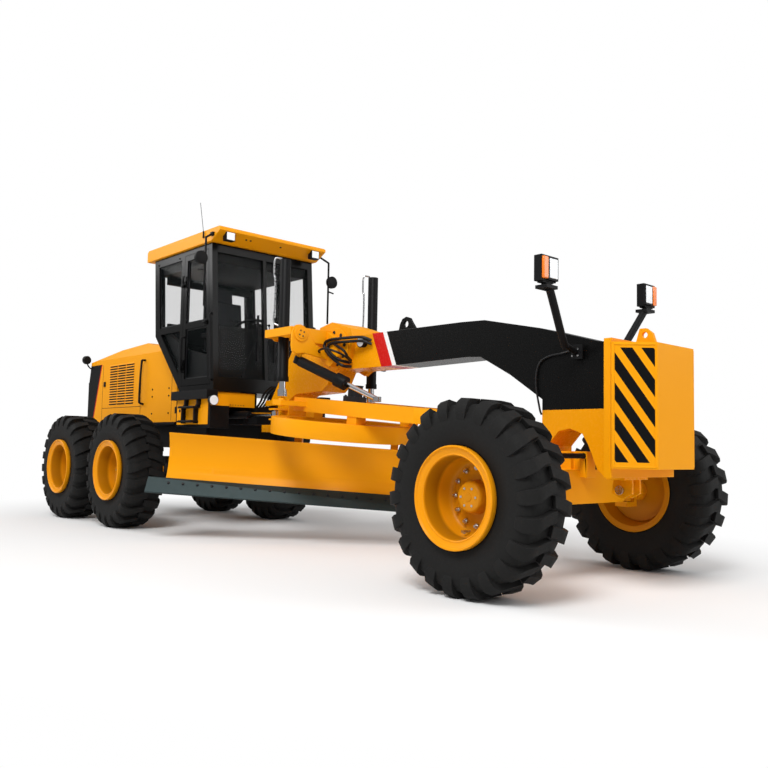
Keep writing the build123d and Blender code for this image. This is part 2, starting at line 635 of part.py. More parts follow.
with BuildPart() as tip_frame:
    for side in (-1, 1):
        a0 = min(side * 370, side * 470)
        section([(200, -520), (300, -520), (410, -590), (410, -690), (310, -960), (205, -960),
                 (205, -600)], a0, a0 + 100)
    section([(300, -800), (360, -800), (360, -700), (300, -700)], -370, 370)
    bar(place(-480, tip_back, tip_low), place(480, tip_back, tip_low), 30 + run_gap,
        Mode.SUBTRACT)
    bar(place(-480, 245, -560), place(480, 245, -560), 24.3, Mode.SUBTRACT)
    bar(place(-480, 255, -900), place(480, 255, -900), 24.3, Mode.SUBTRACT)
save(tip_frame, "tip_frame")

# ---------------------------------------------------------------- blade
with BuildPart() as mouldboard:
    with BuildSketch(Plane(origin=place(mould_right, 0, 0), x_dir=blade_plane.y_dir,
                           z_dir=blade_dir)) as curve:
        with BuildLine():
            ThreePointArc((100, -473), (165, -740), (70, -1000))
            Line((70, -1000), (90, -1015))
            ThreePointArc((90, -1015), (190, -742), (125, -473))
            Line((125, -473), (100, -473))
        make_face()
    extrude(curve.sketch, amount=blade_left - mould_right)
    # Brackets that hold the two slide bars
    for a0 in (-1385, 1115):
        section([(150, -530), (275, -530), (285, -930), (120, -930), (178, -740)], a0, a0 + 30)
    bar(place(-1370, 245, -560), place(1130, 245, -560), 24)
    bar(place(-1370, 255, -900), place(1130, 255, -900), 24)
save(mouldboard, "mouldboard")

with BuildPart() as edge:
    section([(100, -955), (-10, -1106), (-26, -1094), (84, -943)], blade_right, blade_left)
save(edge, "cutting_edge")

# ---------------------------------------------------------------- cylinders
for side_name, side in sides:
    y = side * lift_y
    with BuildPart() as barrel:
        bar((lift_x, y, 1700), (lift_x, y, 2900), 55)
        bar((lift_x, y, 1650), (lift_x, y, 1700), 62)
        bar((lift_x - 120, y, trunnion_z), (lift_x + 140, y, trunnion_z), 25)
        bar((lift_x, y, 1640), (lift_x, y, 2880), 34, Mode.SUBTRACT)
    save(barrel, f"lift_barrel_{side_name}")
    with BuildPart() as rod:
        bar((lift_x, y, 1560), (lift_x, y, 2860), 34 - seat_gap)
        bar((lift_x, y, 1500), (lift_x, y, 1570), 48)
    save(rod, f"lift_rod_{side_name}")

shift_dir = (shift_eye - shift_base).normalized()
shift_reach = (shift_eye - shift_base).length
with BuildPart() as shift_barrel:
    bar(shift_base + shift_dir * 30, shift_base + shift_dir * (shift_reach * 0.62), 50)
    bar(shift_base + shift_dir * (shift_reach * 0.5), shift_base + shift_dir * (shift_reach * 0.62),
        68)
    bar(shift_base - shift_pin * 35, shift_base + shift_pin * 35, 42)
    bar(shift_base - shift_pin * 60, shift_base + shift_pin * 60, 20 + run_gap, Mode.SUBTRACT)
    bar(shift_base + shift_dir * 60, shift_base + shift_dir * (shift_reach * 0.7), 26,
        Mode.SUBTRACT)
save(shift_barrel, "shift_barrel")
with BuildPart() as shift_rod:
    bar(shift_base + shift_dir * 250, shift_base + shift_dir * (shift_reach - 10), 26 - seat_gap)
    bar(shift_eye - Vector(0, 0, 24), shift_eye + Vector(0, 0, 24), 40)
save(shift_rod, "shift_rod")

for side_name, side in sides:
    base = Vector(-1100, side * 410, 1340)
    eye = Vector(60, side * 300, 1340)
    direction = (eye - base).normalized()
    reach = (eye - base).length
    with BuildPart() as barrel:
        bar(base + direction * 30, base + direction * (reach * 0.62), 42)
        bar((base.X, base.Y, 1310), (base.X, base.Y, 1370), 40)
        bar(base + direction * 60, base + direction * (reach * 0.7), 24, Mode.SUBTRACT)
        bar((base.X, base.Y, 1300), (base.X, base.Y, 1380), 20 + run_gap, Mode.SUBTRACT)
    save(barrel, f"articulation_barrel_{side_name}")
    with BuildPart() as rod:
        bar(base + direction * 330, eye - direction * 30, 24 - seat_gap)
        bar((eye.X, eye.Y, 1310), (eye.X, eye.Y, 1370), 40)
        bar((eye.X, eye.Y, 1301), (eye.X, eye.Y, 1379), 20)
    save(rod, f"articulation_rod_{side_name}")
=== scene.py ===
"""Motor grader: the finish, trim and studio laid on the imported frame."""

from math import cos, pi, radians, sin, sqrt

import bmesh
import bpy
from mathutils import Matrix, Vector


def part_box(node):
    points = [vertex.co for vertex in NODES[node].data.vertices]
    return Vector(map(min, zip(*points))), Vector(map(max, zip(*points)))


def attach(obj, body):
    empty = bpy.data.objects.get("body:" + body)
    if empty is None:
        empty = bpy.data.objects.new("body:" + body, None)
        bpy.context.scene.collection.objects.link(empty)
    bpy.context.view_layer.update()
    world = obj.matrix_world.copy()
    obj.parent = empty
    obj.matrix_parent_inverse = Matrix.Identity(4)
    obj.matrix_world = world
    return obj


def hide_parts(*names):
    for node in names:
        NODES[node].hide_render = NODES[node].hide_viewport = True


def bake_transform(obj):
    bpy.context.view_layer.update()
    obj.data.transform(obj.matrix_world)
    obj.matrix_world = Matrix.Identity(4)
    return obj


bl_info = {
    "name": "Motor grader",
    "version": (1, 0, 0),
    "blender": (4, 5, 0),
    "location": "View3D > Sidebar > Grader",
    "description": "Finishes, trim, tyres and studio of a motor grader",
    "category": "Object",
}

# ------------------------------------------------------------ frame
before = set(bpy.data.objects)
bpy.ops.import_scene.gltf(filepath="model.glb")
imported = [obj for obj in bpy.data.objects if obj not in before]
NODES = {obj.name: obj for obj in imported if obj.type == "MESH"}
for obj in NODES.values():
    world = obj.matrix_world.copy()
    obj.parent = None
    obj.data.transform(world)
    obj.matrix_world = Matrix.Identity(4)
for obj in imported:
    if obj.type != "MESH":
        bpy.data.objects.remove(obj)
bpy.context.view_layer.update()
FRONT, REAR = "front_frame", "rear_frame"
SIDES = (("right", -1), ("left", 1))


def middle_of(node):
    """The middle of a CAD node's box."""
    low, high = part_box(node)
    return (Vector(low) + Vector(high)) / 2


WHEELS = {f"{row}_{side}": middle_of(f"tyre_{row}_{side}")
          for row in ("front", "middle", "rear") for side, _ in SIDES}
HALF_TRACK, TYRE_RADIUS = WHEELS["front_left"].yz

# Places that several pieces share, in metres
HOOD_SIDE = 0.5
SADDLE_X, SADDLE_Z = 0.985, 1.985
LIFT_Y, LIFT_Z = 0.6, 2.13
ARM_BOSS_Y, ARM_BOSS_Z = 0.64, 2.105
HINGE_X = -0.305
CAB_FACE = 0.706


# ------------------------------------------------------------ settings
class GraderPaint(bpy.types.PropertyGroup):
    """Colours of the machine."""

    body: bpy.props.FloatVectorProperty(
        name="Body yellow", description="Colour of the painted frame and hood",
        subtype="COLOR", default=(0.86, 0.335, 0.003), min=0, max=1)
    rim: bpy.props.FloatVectorProperty(
        name="Rim yellow", description="Colour of the wheel rims",
        subtype="COLOR", default=(0.80, 0.30, 0.003), min=0, max=1)
    dark: bpy.props.FloatVectorProperty(
        name="Black", description="Colour of the cab frame, the beam's panel and small parts",
        subtype="COLOR", default=(0.004, 0.004, 0.004), min=0, max=1)
    red: bpy.props.FloatVectorProperty(
        name="Red band", description="Colour of the beam's thin band",
        subtype="COLOR", default=(0.55, 0.012, 0.01), min=0, max=1)
    rubber: bpy.props.FloatVectorProperty(
        name="Rubber", description="Colour of the tyres",
        subtype="COLOR", default=(0.0075, 0.0073, 0.007), min=0, max=1)


class GraderSizes(bpy.types.PropertyGroup):
    """Sizes of the repeated and added parts."""

    lugs: bpy.props.IntProperty(
        name="Lugs", description="Tread bars on each side of a tyre", default=22, min=12, max=36)
    lug_height: bpy.props.FloatProperty(
        name="Lug height", description="How far the tread bars stand out of the tyre",
        subtype="DISTANCE", unit="LENGTH", default=0.036, min=0.01, max=0.05)
    wheel_bolts: bpy.props.IntProperty(
        name="Wheel bolts", description="Bolts that hold each rim", default=12, min=6, max=20)
    louvres: bpy.props.IntProperty(
        name="Louvres", description="Slots in each column of the hood's side", default=16, min=6, max=30)
    circle_teeth: bpy.props.IntProperty(
        name="Circle teeth", description="Teeth inside the turning circle", default=72, min=40, max=120)
    stripe_pitch: bpy.props.FloatProperty(
        name="Stripe pitch", description="Height from one stripe of the nose to the next",
        subtype="DISTANCE", unit="LENGTH", default=0.206, min=0.05, max=0.4)
    edge: bpy.props.FloatProperty(
        name="Edge rounding", description="Rounding of the plates' edges",
        subtype="DISTANCE", unit="LENGTH", default=0.006, min=0.0, max=0.02)


# ------------------------------------------------------------ shader nodes
def feed(tree, socket, value):
    """Gives an input another node's socket, a number or a colour."""
    if isinstance(value, bpy.types.NodeSocket):
        tree.links.new(value, socket)
    elif socket.type == "RGBA":
        socket.default_value = (*value, 1)
    else:
        socket.default_value = value


def add(tree, kind, inputs=None, **choices):
    """A new node, its choices set and its inputs fed."""
    node = tree.nodes.new(kind)
    for name, value in choices.items():
        setattr(node, name, value)
    for key, value in (inputs or {}).items():
        feed(tree, node.inputs[key], value)
    return node


def maths(tree, kind, *values):
    """The result of one arithmetic node on sockets or numbers."""
    return add(tree, "ShaderNodeMath", dict(enumerate(values)), operation=kind).outputs[0]


def product(tree, first, *others):
    """Everything multiplied; of masks, 1 where all of them are 1."""
    for value in others:
        first = maths(tree, "MULTIPLY", first, value)
    return first


def span(tree, value, low, high):
    """1 where value lies between low and high."""
    return product(tree, maths(tree, "GREATER_THAN", value, low), maths(tree, "LESS_THAN", value, high))


def place_of(tree):
    """The vector, X, Y and Z of Object coordinates."""
    vector = add(tree, "ShaderNodeTexCoord").outputs["Object"]
    return vector, *add(tree, "ShaderNodeSeparateXYZ", {0: vector}).outputs


def mix(tree, mask, low, high):
    """A colour: low where the mask is 0 and high where it is 1."""
    node = add(tree, "ShaderNodeMix", {"Factor": mask, "A": low, "B": high}, data_type="RGBA")
    return node.outputs["Result"]


def orange_peel(tree, shader, low, high, bump=0.02, scale=38.0):
    """Uneven gloss and a faint ripple, as sprayed paint has."""
    noise = add(tree, "ShaderNodeTexNoise", {"Vector": place_of(tree)[0], "Scale": scale, "Detail": 4})
    fac = noise.outputs["Fac"]
    rough = add(tree, "ShaderNodeMapRange", {"Value": fac, "To Min": low, "To Max": high})
    ripple = add(tree, "ShaderNodeBump", {"Strength": bump, "Distance": 0.001, "Height": fac})
    feed(tree, shader.inputs["Roughness"], rough.outputs["Result"])
    feed(tree, shader.inputs["Normal"], ripple.outputs["Normal"])


# ------------------------------------------------------------ materials
MATERIALS = {}


def finish(key, name, colour, rough, metal=0.0, coat=0.0, shine=0.5):
    """Makes the material of a key; rough is one number, or what orange_peel takes."""
    made = bpy.data.materials.get(name) or bpy.data.materials.new(name)
    made.use_nodes = True
    tree = made.node_tree
    shader = tree.nodes["Principled BSDF"]
    values = {"Base Color": colour, "Metallic": metal, "Coat Weight": coat, "Coat Roughness": 0.08,
              "Specular IOR Level": shine}
    for socket, value in values.items():
        feed(tree, shader.inputs[socket], value)
    if isinstance(rough, tuple):
        orange_peel(tree, shader, *rough)
    else:
        feed(tree, shader.inputs["Roughness"], rough)
    MATERIALS[key] = made
    return tree, shader


def paint_rims(paint):
    """The rim's yellow with painted shade: lightest at the bead and darker down the dish, by the depth across
    the wheel.
    """
    tree, shader = finish("rim", "Rim paint with painted shade", paint.rim, (0.32, 0.44, 0.03), shine=0.14)
    depth = maths(tree, "SUBTRACT", maths(tree, "ABSOLUTE", place_of(tree)[2]), HALF_TRACK - 0.1)
    painted_dish_shade = add(tree, "ShaderNodeValToRGB", {0: depth})
    # Depth across the wheel, and the share of the rim's yellow there: painted shade, darkest down the dish's
    # barrel
    steps = ((0.06, 0.7), (0.17, 0.85), (0.20, 0.42), (0.30, 0.55), (0.322, 1.0))
    ramp = painted_dish_shade.color_ramp.elements
    for at, _ in steps[2:]:
        ramp.new(at)
    for element, (at, share) in zip(ramp, steps):
        element.position = at
        element.color = (*(share * c for c in paint.rim), 1)
    feed(tree, shader.inputs["Base Color"], painted_dish_shade.outputs[0])


def paint_beam(paint):
    """Yellow behind, then a red and a white band on a slant, then black."""
    tree, shader = finish("beam", "Beam paint", paint.body, (0.22, 0.32), coat=0.02, shine=0.13)
    lean, level, panel_foot = 0.42, 1.95, 1.315
    red_from, white_from, black_from = 1.545, 1.70, 1.755
    _, x, _, z = place_of(tree)
    slant = maths(tree, "MULTIPLY_ADD", maths(tree, "SUBTRACT", z, level), lean, x)
    above = maths(tree, "GREATER_THAN", z, panel_foot)
    ahead = product(tree, maths(tree, "GREATER_THAN", slant, black_from), above)
    colour = mix(tree, span(tree, slant, red_from, white_from), paint.body, paint.red)
    colour = mix(tree, span(tree, slant, white_from, black_from), colour, (0.8, 0.8, 0.8))
    feed(tree, shader.inputs["Base Color"], mix(tree, ahead, colour, paint.dark))


def paint_nose(paint, pitch):
    """Black slanting stripes on the nose's two wings."""
    tree, shader = finish("nose", "Nose paint", paint.body, (0.34, 0.46), coat=0.02, shine=0.1)
    slope, black_share = 2.08, 0.58
    wing, height, front = (0.264, 0.46), (0.93, 1.715), 4.32
    _, x, y, z = place_of(tree)
    side = maths(tree, "ABSOLUTE", y)
    along = maths(tree, "MULTIPLY_ADD", side, -slope, z)
    stripe = maths(tree, "LESS_THAN", maths(tree, "FRACT", maths(tree, "DIVIDE", along, pitch)), black_share)
    mask = product(tree, stripe, span(tree, side, *wing), span(tree, z, *height),
                   maths(tree, "GREATER_THAN", x, front))
    feed(tree, shader.inputs["Base Color"], mix(tree, mask, paint.body, paint.dark))


def paint_hood(paint):
    """A black slanting corner at the rear, with a red line along it."""
    tree, shader = finish("hood", "Hood paint", paint.body, (0.34, 0.46), coat=0.02, shine=0.1)
    lean, foot, top = 0.31, 1.3, 2.13
    edge, line_width = -4.365, 0.025
    _, x, _, z = place_of(tree)
    slant = maths(tree, "MULTIPLY_ADD", maths(tree, "SUBTRACT", z, foot), -lean, x)
    below = maths(tree, "LESS_THAN", z, top)
    line = product(tree, span(tree, slant, edge - 0.001, edge + line_width), below)
    corner = product(tree, maths(tree, "LESS_THAN", slant, edge), below)
    colour = mix(tree, line, paint.body, paint.red)
    feed(tree, shader.inputs["Base Color"], mix(tree, corner, colour, paint.dark))


def make_materials(paint, sizes):
    """Every material of the machine."""
    finish("yellow", "Yellow paint", paint.body, (0.34, 0.46), coat=0.02, shine=0.1)
    paint_rims(paint)
    finish("gloss", "Black gloss paint", paint.dark, (0.18, 0.27), shine=0.12)
    finish("chassis", "Black chassis paint", (0.005, 0.005, 0.0055), (0.4, 0.55, 0.05), shine=0.12)
    paint_beam(paint)
    paint_nose(paint, sizes.stripe_pitch)
    paint_hood(paint)
    finish("rubber", "Tyre rubber", paint.rubber, (0.62, 0.85, 0.25, 60.0), shine=0.2)
    finish("edge", "Worn edge steel", (0.02, 0.034, 0.035), (0.34, 0.55, 0.1, 22.0), 0.4, shine=0.3)
    finish("cast", "Cast iron", (0.02, 0.02, 0.022), (0.5, 0.75, 0.3, 90.0), 0.3, shine=0.3)
    finish("steel", "Bright steel", (0.55, 0.55, 0.56), (0.2, 0.36), 1.0)
    finish("chrome", "Rod chrome", (0.75, 0.75, 0.77), 0.09, 1.0)
    finish("mirror", "Mirror glass", (0.8, 0.82, 0.84), 0.04, 1.0)
    finish("plastic", "Black plastic", (0.006, 0.006, 0.0065), (0.42, 0.62, 0.15, 120.0), shine=0.14)
    finish("hose", "Hose rubber", (0.007, 0.007, 0.008), 0.42, shine=0.3)
    finish("cloth", "Seat cloth", (0.02, 0.021, 0.024), (0.82, 0.98, 0.4, 220.0))
    tree, shader = finish("glass", "Window glass", (0.004, 0.008, 0.008), 0.03, shine=0.22)
    feed(tree, shader.inputs["Alpha"], 0.1)
    tree, shader = finish("lens", "Lamp lens", (0.75, 0.78, 0.8), 0.12)
    feed(tree, shader.inputs["Emission Color"], (0.8, 0.85, 0.9))
    feed(tree, shader.inputs["Emission Strength"], 0.12)
    finish("amber", "Amber lens", (0.9, 0.2, 0.01), 0.18, coat=0.5)
    finish("red", "Red lens", (0.5, 0.01, 0.01), 0.2, coat=0.4)


def pair(*names):
    """Each name with its right and its left."""
    return [f"{name}_{side}" for name in names for side, _ in SIDES]


NODE_FINISH = {
    "yellow": ["cab_roof", "blade_saddle", "front_axle", "drawbar", "circle", "circle_arms", "mouldboard",
               *pair("lean_knuckle", "steering_knuckle", "tandem")],
    "beam": ["gooseneck"],
    "nose": ["nose_block"],
    "hood": ["hood"],
    "gloss": ["cab_frame", *pair("cab_door")],
    "chassis": ["rear_frame", "rear_grille", "rear_hitch", "lamp_arms", "tie_rod", "tip_frame",
                "shift_barrel", *pair("step_box", "lift_barrel", "articulation_barrel")],
    "cast": ["engine_block", "rear_axle", "drawbar_ball", "ball_socket"],
    "chrome": ["shift_rod", *pair("lift_rod", "articulation_rod")],
    "glass": ["cab_glass", *pair("door_glass")],
    "cloth": ["operator_seat"],
    "plastic": ["steering_console", "mirrors"],
    "edge": ["cutting_edge"],
    "rubber": [f"tyre_{name}" for name in WHEELS],
    "rim": [f"rim_{name}" for name in WHEELS],
}


# ------------------------------------------------------------ shapes
def box(bm, low, high):
    """A box between two corners."""
    centre = [(a + b) / 2 for a, b in zip(low, high)]
    size = [abs(b - a) for a, b in zip(low, high)]
    bmesh.ops.create_cube(bm, size=1, matrix=Matrix.Translation(centre) @ Matrix.Diagonal((*size, 1)))


def bar(bm, start, end, radius, sides=20, tip=None):
    """A round bar between two points, tapering to tip."""
    start, end = Vector(start), Vector(end)
    line = end - start
    turn = line.to_track_quat("Z", "Y").to_matrix().to_4x4()
    bmesh.ops.create_cone(bm, cap_ends=True, segments=sides, radius1=radius,
                          radius2=radius if tip is None else tip, depth=line.length,
                          matrix=Matrix.Translation((start + end) / 2) @ turn)


def at_level(point, axis, level):
    """A point of two coordinates, with the third one put in on its axis."""
    return Vector((*point[:axis], level, *point[axis:]))


def disc(bm, axis, centre, low, high, radius, sides=40, tip=None):
    """A bar parallel to an axis, from low to high; centre holds the other two coordinates."""
    bar(bm, at_level(centre, axis, low), at_level(centre, axis, high), radius, sides, tip)


def bar_circle(bm, axis, centre, spread, count, low, high, radius, sides, start=0.0):
    """Bars parallel to an axis, in a circle of radius spread round the centre."""
    for k in range(count):
        turn = 2 * pi * k / count + start
        spot = (centre[0] + spread * cos(turn), centre[1] + spread * sin(turn))
        disc(bm, axis, spot, low, high, radius, sides)


def ball(bm, centre, radius):
    """A small round knob."""
    bmesh.ops.create_uvsphere(bm, u_segments=16, v_segments=10, radius=radius,
                              matrix=Matrix.Translation(centre))


def plate(bm, points, low, high, axis=1):
    """A polygon of two coordinates, thick along the third axis from low to high."""
    near, far = ([bm.verts.new(at_level(p, axis, level)) for p in points] for level in (low, high))
    bm.faces.new(near)
    bm.faces.new(far[::-1])
    for i in range(len(points)):
        bm.faces.new((near[i - 1], far[i - 1], far[i], near[i]))


def lathe(bm, profile, steps=96):
    """A closed turned shape about Y, from (outward, radius) points."""
    rings = []
    for k in range(steps):
        turn = 2 * pi * k / steps
        rings.append([bm.verts.new((r * sin(turn), out, r * cos(turn))) for out, r in profile])
    for k in range(steps):
        here, there = rings[k - 1], rings[k]
        for i in range(len(profile)):
            bm.faces.new((here[i - 1], here[i], there[i], there[i - 1]))


def tube(bm, points, radius, sides=12, rounds=8):
    """A hose that runs smoothly through points."""
    points = [Vector(p) for p in points]
    ends = [points[0] * 2 - points[1], *points, points[-1] * 2 - points[-2]]
    path = []
    for i in range(1, len(ends) - 2):
        a, b, c, d = ends[i - 1:i + 3]
        for k in range(rounds):
            t = k / rounds
            path.append(0.5 * (2 * b + (c - a) * t + (2 * a - 5 * b + 4 * c - d) * t * t
                               + (3 * b - a - 3 * c + d) * t ** 3))
    path.append(points[-1])
    across = (path[1] - path[0]).orthogonal().normalized()
    turns = [2 * pi * k / sides for k in range(sides)]
    rings = []
    for i, p in enumerate(path):
        line = (path[min(i + 1, len(path) - 1)] - path[max(i - 1, 0)]).normalized()
        across = (across - line * across.dot(line)).normalized()
        other = line.cross(across)
        rings.append([bm.verts.new(p + radius * (across * cos(t) + other * sin(t))) for t in turns])
    for near, far in zip(rings, rings[1:]):
        for k in range(sides):
            bm.faces.new((near[k - 1], near[k], far[k], far[k - 1]))
    bm.faces.new(rings[0][::-1])
    bm.faces.new(rings[-1])


def join(bm, other):
    """Adds other to bm; other is freed."""
    mesh = bpy.data.meshes.new("Joined part")
    other.to_mesh(mesh)
    other.free()
    bm.from_mesh(mesh)
    bpy.data.meshes.remove(mesh)


def sided(shape, side):
    """A copy of a left-hand shape, mirrored to the right where side is -1."""
    copy = shape.copy()
    bmesh.ops.scale(copy, verts=copy.verts, vec=(1, side, 1))
    return copy


def mirrored(bm):
    """The bmesh with its mirror image added on the machine's other side."""
    join(bm, sided(bm, -1))
    return bm


def link_new(name, mesh):
    """A new object in the scene."""
    obj = bpy.data.objects.new(name, mesh)
    bpy.context.scene.collection.objects.link(obj)
    return obj


def mesh_of(name, bm):
    """A mesh made of a bmesh, which is freed."""
    bmesh.ops.recalc_face_normals(bm, faces=bm.faces)
    mesh = bpy.data.meshes.new(name)
    bm.to_mesh(mesh)
    bm.free()
    return mesh


def repeat_tree():
    """Copies its input shape, turning and moving it a little more each time."""
    tree = bpy.data.node_groups.get("Repeat along a rule")
    if tree:
        return tree
    tree = bpy.data.node_groups.new("Repeat along a rule", "GeometryNodeTree")
    for name, kind in (("Geometry", "Geometry"), ("Count", "Int"), ("Turn", "Vector"), ("Move", "Vector")):
        tree.interface.new_socket(name, in_out="INPUT", socket_type=f"NodeSocket{kind}")
    tree.interface.new_socket("Geometry", in_out="OUTPUT", socket_type="NodeSocketGeometry")
    given = add(tree, "NodeGroupInput").outputs
    line = add(tree, "GeometryNodeMeshLine", {"Count": given["Count"], "Offset": given["Move"]},
               mode="OFFSET")
    index = add(tree, "GeometryNodeInputIndex").outputs[0]
    angles = add(tree, "ShaderNodeVectorMath", {0: given["Turn"], "Scale": index}, operation="SCALE")
    turn = add(tree, "FunctionNodeEulerToRotation", {0: angles.outputs[0]})
    copies = add(tree, "GeometryNodeInstanceOnPoints", {
        "Points": line.outputs[0], "Instance": given["Geometry"], "Rotation": turn.outputs[0]})
    real = add(tree, "GeometryNodeRealizeInstances", {0: copies.outputs[0]})
    add(tree, "NodeGroupOutput", {0: real.outputs[0]})
    return tree


def repeated(source, count, turn=(0, 0, 0), move=(0, 0, 0)):
    """The bmesh of a shape repeated by the tree; source is freed."""
    mesh = mesh_of("Repeat source", source)
    obj = link_new("Repeat source", mesh)
    tree = repeat_tree()
    rule = obj.modifiers.new("Repeat", "NODES")
    rule.node_group = tree
    values = {"Count": count, "Turn": turn, "Move": move}
    for item in tree.interface.items_tree:
        if item.name in values:
            rule[item.identifier] = values[item.name]
    bpy.context.view_layer.update()
    graph = bpy.context.evaluated_depsgraph_get()
    made = bpy.data.meshes.new_from_object(obj.evaluated_get(graph))
    bm = bmesh.new()
    bm.from_mesh(made)
    bpy.data.objects.remove(obj)
    bpy.data.meshes.remove(mesh)
    bpy.data.meshes.remove(made)
    return bm


# ------------------------------------------------------------ pieces
def round_edges(obj, width, angle):
    """Rounds the edges that are sharper than an angle in degrees."""
    rounding = obj.modifiers.new("Edges", "BEVEL")
    rounding.width = width
    rounding.segments = 2
    rounding.limit_method = "ANGLE"
    rounding.angle_limit = radians(angle)


def piece(name, bm, material, body, replaced=(), bevel=0.0):
    """Turns a bmesh into a finished piece that rides on a body, if one is given."""
    name = name.replace(" ", "_")
    mesh = mesh_of(name, bm)
    mesh.materials.append(MATERIALS[material])
    obj = link_new(name, mesh)
    if bevel:
        round_edges(obj, bevel, 40)
    mesh.shade_smooth()
    mesh.set_sharp_from_angle(angle=radians(35))
    if body:
        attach(obj, body)
    if replaced:
        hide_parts(*replaced)
    return obj


def piece_pair(kind, shape, material, body, bevel=0.0):
    """A piece on the right and one on the left body; shape is made for the left and freed."""
    for name, side in SIDES:
        piece(f"{kind} {name}", sided(shape, side), material, f"{body}_{name}", bevel=bevel)
    shape.free()


def wheel_pieces(kind, shape, material, node=None, bevel=0.0, turned=True):
    """A piece on every wheel; shape is made about the origin, outward along Y if turned, and freed."""
    for name, centre in WHEELS.items():
        bm = sided(shape, -1 if turned and centre.y < 0 else 1)
        bmesh.ops.translate(bm, verts=bm.verts, vec=centre)
        stands_for = [f"{node}_{name}"] if node else ()
        piece(f"{kind} {name}", bm, material, f"wheel_{name}", stands_for, bevel)
    shape.free()


# ------------------------------------------------------------ finish and wheels
class GRADER_OT_paint(bpy.types.Operator):
    """Makes the materials, and paints and rounds the frame's own plates"""

    bl_idname = "grader.paint"
    bl_label = "Paint the frame"

    def execute(self, context):
        sizes = context.scene.grader_sizes
        make_materials(context.scene.grader_paint, sizes)
        for key, names in NODE_FINISH.items():
            for obj in [NODES[name] for name in names]:
                obj.data.materials.clear()
                obj.data.materials.append(MATERIALS[key])
                if key in ("rubber", "rim"):
                    continue
                weld = obj.modifiers.new("Weld", "WELD")
                weld.merge_threshold = 0.00002
                if key not in ("glass", "chrome"):
                    round_edges(obj, sizes.edge, 38)
        return {"FINISHED"}


def tread_bar():
    """One lug, from the middle of the tread out and down over the left shoulder."""
    # Outward place, the two sides' places along the tread, and drop below the tread
    rows = ((-0.012, -0.046, 0.030, 0.0), (0.05, -0.034, 0.044, 0.0), (0.11, -0.016, 0.066, 0.0),
            (0.158, 0.0, 0.088, 0.0), (0.1995, 0.004, 0.098, 0.026), (0.2215, 0.004, 0.098, 0.075),
            (0.2215, 0.008, 0.090, 0.118), (0.2135, 0.014, 0.078, 0.150))
    slope = 0.004
    bm = bmesh.new()
    rings = []
    for out, low, high, drop in rows:
        on_flank = drop > 0.03
        top = TYRE_RADIUS - drop
        foot = top - (0 if on_flank else 0.05) - (slope if drop else 0)
        inner = max(0.0, out - (0.03 if on_flank else 0))
        corners = ((low, out, top), (high, out, top), (high + slope, inner, foot), (low - slope, inner, foot))
        rings.append([bm.verts.new((along, y, sqrt(r * r - along * along))) for along, y, r in corners])
    for here, there in zip(rings, rings[1:]):
        for i in range(4):
            bm.faces.new((here[i - 1], here[i], there[i], there[i - 1]))
    bm.faces.new(rings[0][::-1])
    bm.faces.new(rings[-1])
    return bm


class GRADER_OT_tyres(bpy.types.Operator):
    """Makes the six tyres with their tread bars"""

    bl_idname = "grader.tyres"
    bl_label = "Tyres"

    def execute(self, context):
        sizes = context.scene.grader_sizes
        base = TYRE_RADIUS - sizes.lug_height
        half = [(0, base), (0.08, base - 0.001), (0.15, base - 0.008), (0.185, base - 0.026),
                (0.206, base - 0.062), (0.213, base - 0.11), (0.212, base - 0.17),
                (0.204, 0.42), (0.193, 0.378), (0.19, 0.356), (0.178, 0.35), (0.174, 0.322)]
        tyre = bmesh.new()
        lathe(tyre, [(-out, r) for out, r in reversed(half[1:])] + half, 120)
        step = 2 * pi / sizes.lugs
        # The lugs of one flank stand between those of the other
        for flank, start in ((-1, 0), (1, step / 2)):
            lug = tread_bar()
            bmesh.ops.scale(lug, verts=lug.verts, vec=(1, flank, 1))
            bmesh.ops.rotate(lug, verts=lug.verts, cent=(0, 0, 0), matrix=Matrix.Rotation(start, 3, "Y"))
            join(tyre, repeated(lug, sizes.lugs, turn=(0, step, 0)))
        wheel_pieces("Tyre", tyre, "rubber", "tyre", 0.004, turned=False)
        return {"FINISHED"}


class GRADER_OT_rims(bpy.types.Operator):
    """Makes the dished rims, their bolts and hub caps"""

    bl_idname = "grader.rims"
    bl_label = "Rims"

    def execute(self, context):
        rim, bolt, cap = (bmesh.new() for _ in range(3))
        # Inner bead, barrel, outer bead, dish, disc, hub, then back along the inside
        lathe(rim, [(-0.199, 0.344), (-0.192, 0.349), (-0.186, 0.34), (-0.18, 0.3165),
                    (0.18, 0.3165), (0.188, 0.338), (0.196, 0.3515), (0.222, 0.3515), (0.238, 0.3515),
                    (0.2435, 0.347), (0.2435, 0.341), (0.238, 0.336), (0.23, 0.331), (0.222, 0.312),
                    (0.219, 0.296), (0.222, 0.29), (0.218, 0.284), (0.205, 0.281), (0.12, 0.276),
                    (0.04, 0.27), (0.0, 0.262), (-0.022, 0.25), (-0.03, 0.235), (-0.028, 0.19),
                    (-0.024, 0.17), (-0.024, 0.118), (-0.01, 0.112), (0.05, 0.108), (0.066, 0.1),
                    (0.0725, 0.088), (0.0725, 0.03), (0.0765, 0.028), (0.0765, 0.0), (-0.064, 0.0),
                    (-0.064, 0.258), (-0.05, 0.27), (-0.186, 0.299)])
        wheel_pieces("Rim", rim, "rim", "rim")
        disc(bolt, 1, (0.2, 0), -0.03, -0.012, 0.019, 6)
        disc(bolt, 1, (0.2, 0), -0.014, 0.006, 0.0095, 12)
        disc(cap, 1, (0.066, 0), 0.0725, 0.0765, 0.009, 6)
        count = context.scene.grader_sizes.wheel_bolts
        bolts = repeated(bolt, count, turn=(0, 2 * pi / count, 0))
        join(bolts, repeated(cap, 6, turn=(0, pi / 3, 0)))
        # Valve and its guard
        bar(bolts, (-0.06, -0.02, -0.235), (-0.04, 0.06, -0.245), 0.006, 10)
        box(bolts, (-0.10, -0.02, -0.27), (-0.07, 0.03, -0.235))
        wheel_pieces("Wheel bolts", bolts, "steel")
        return {"FINISHED"}


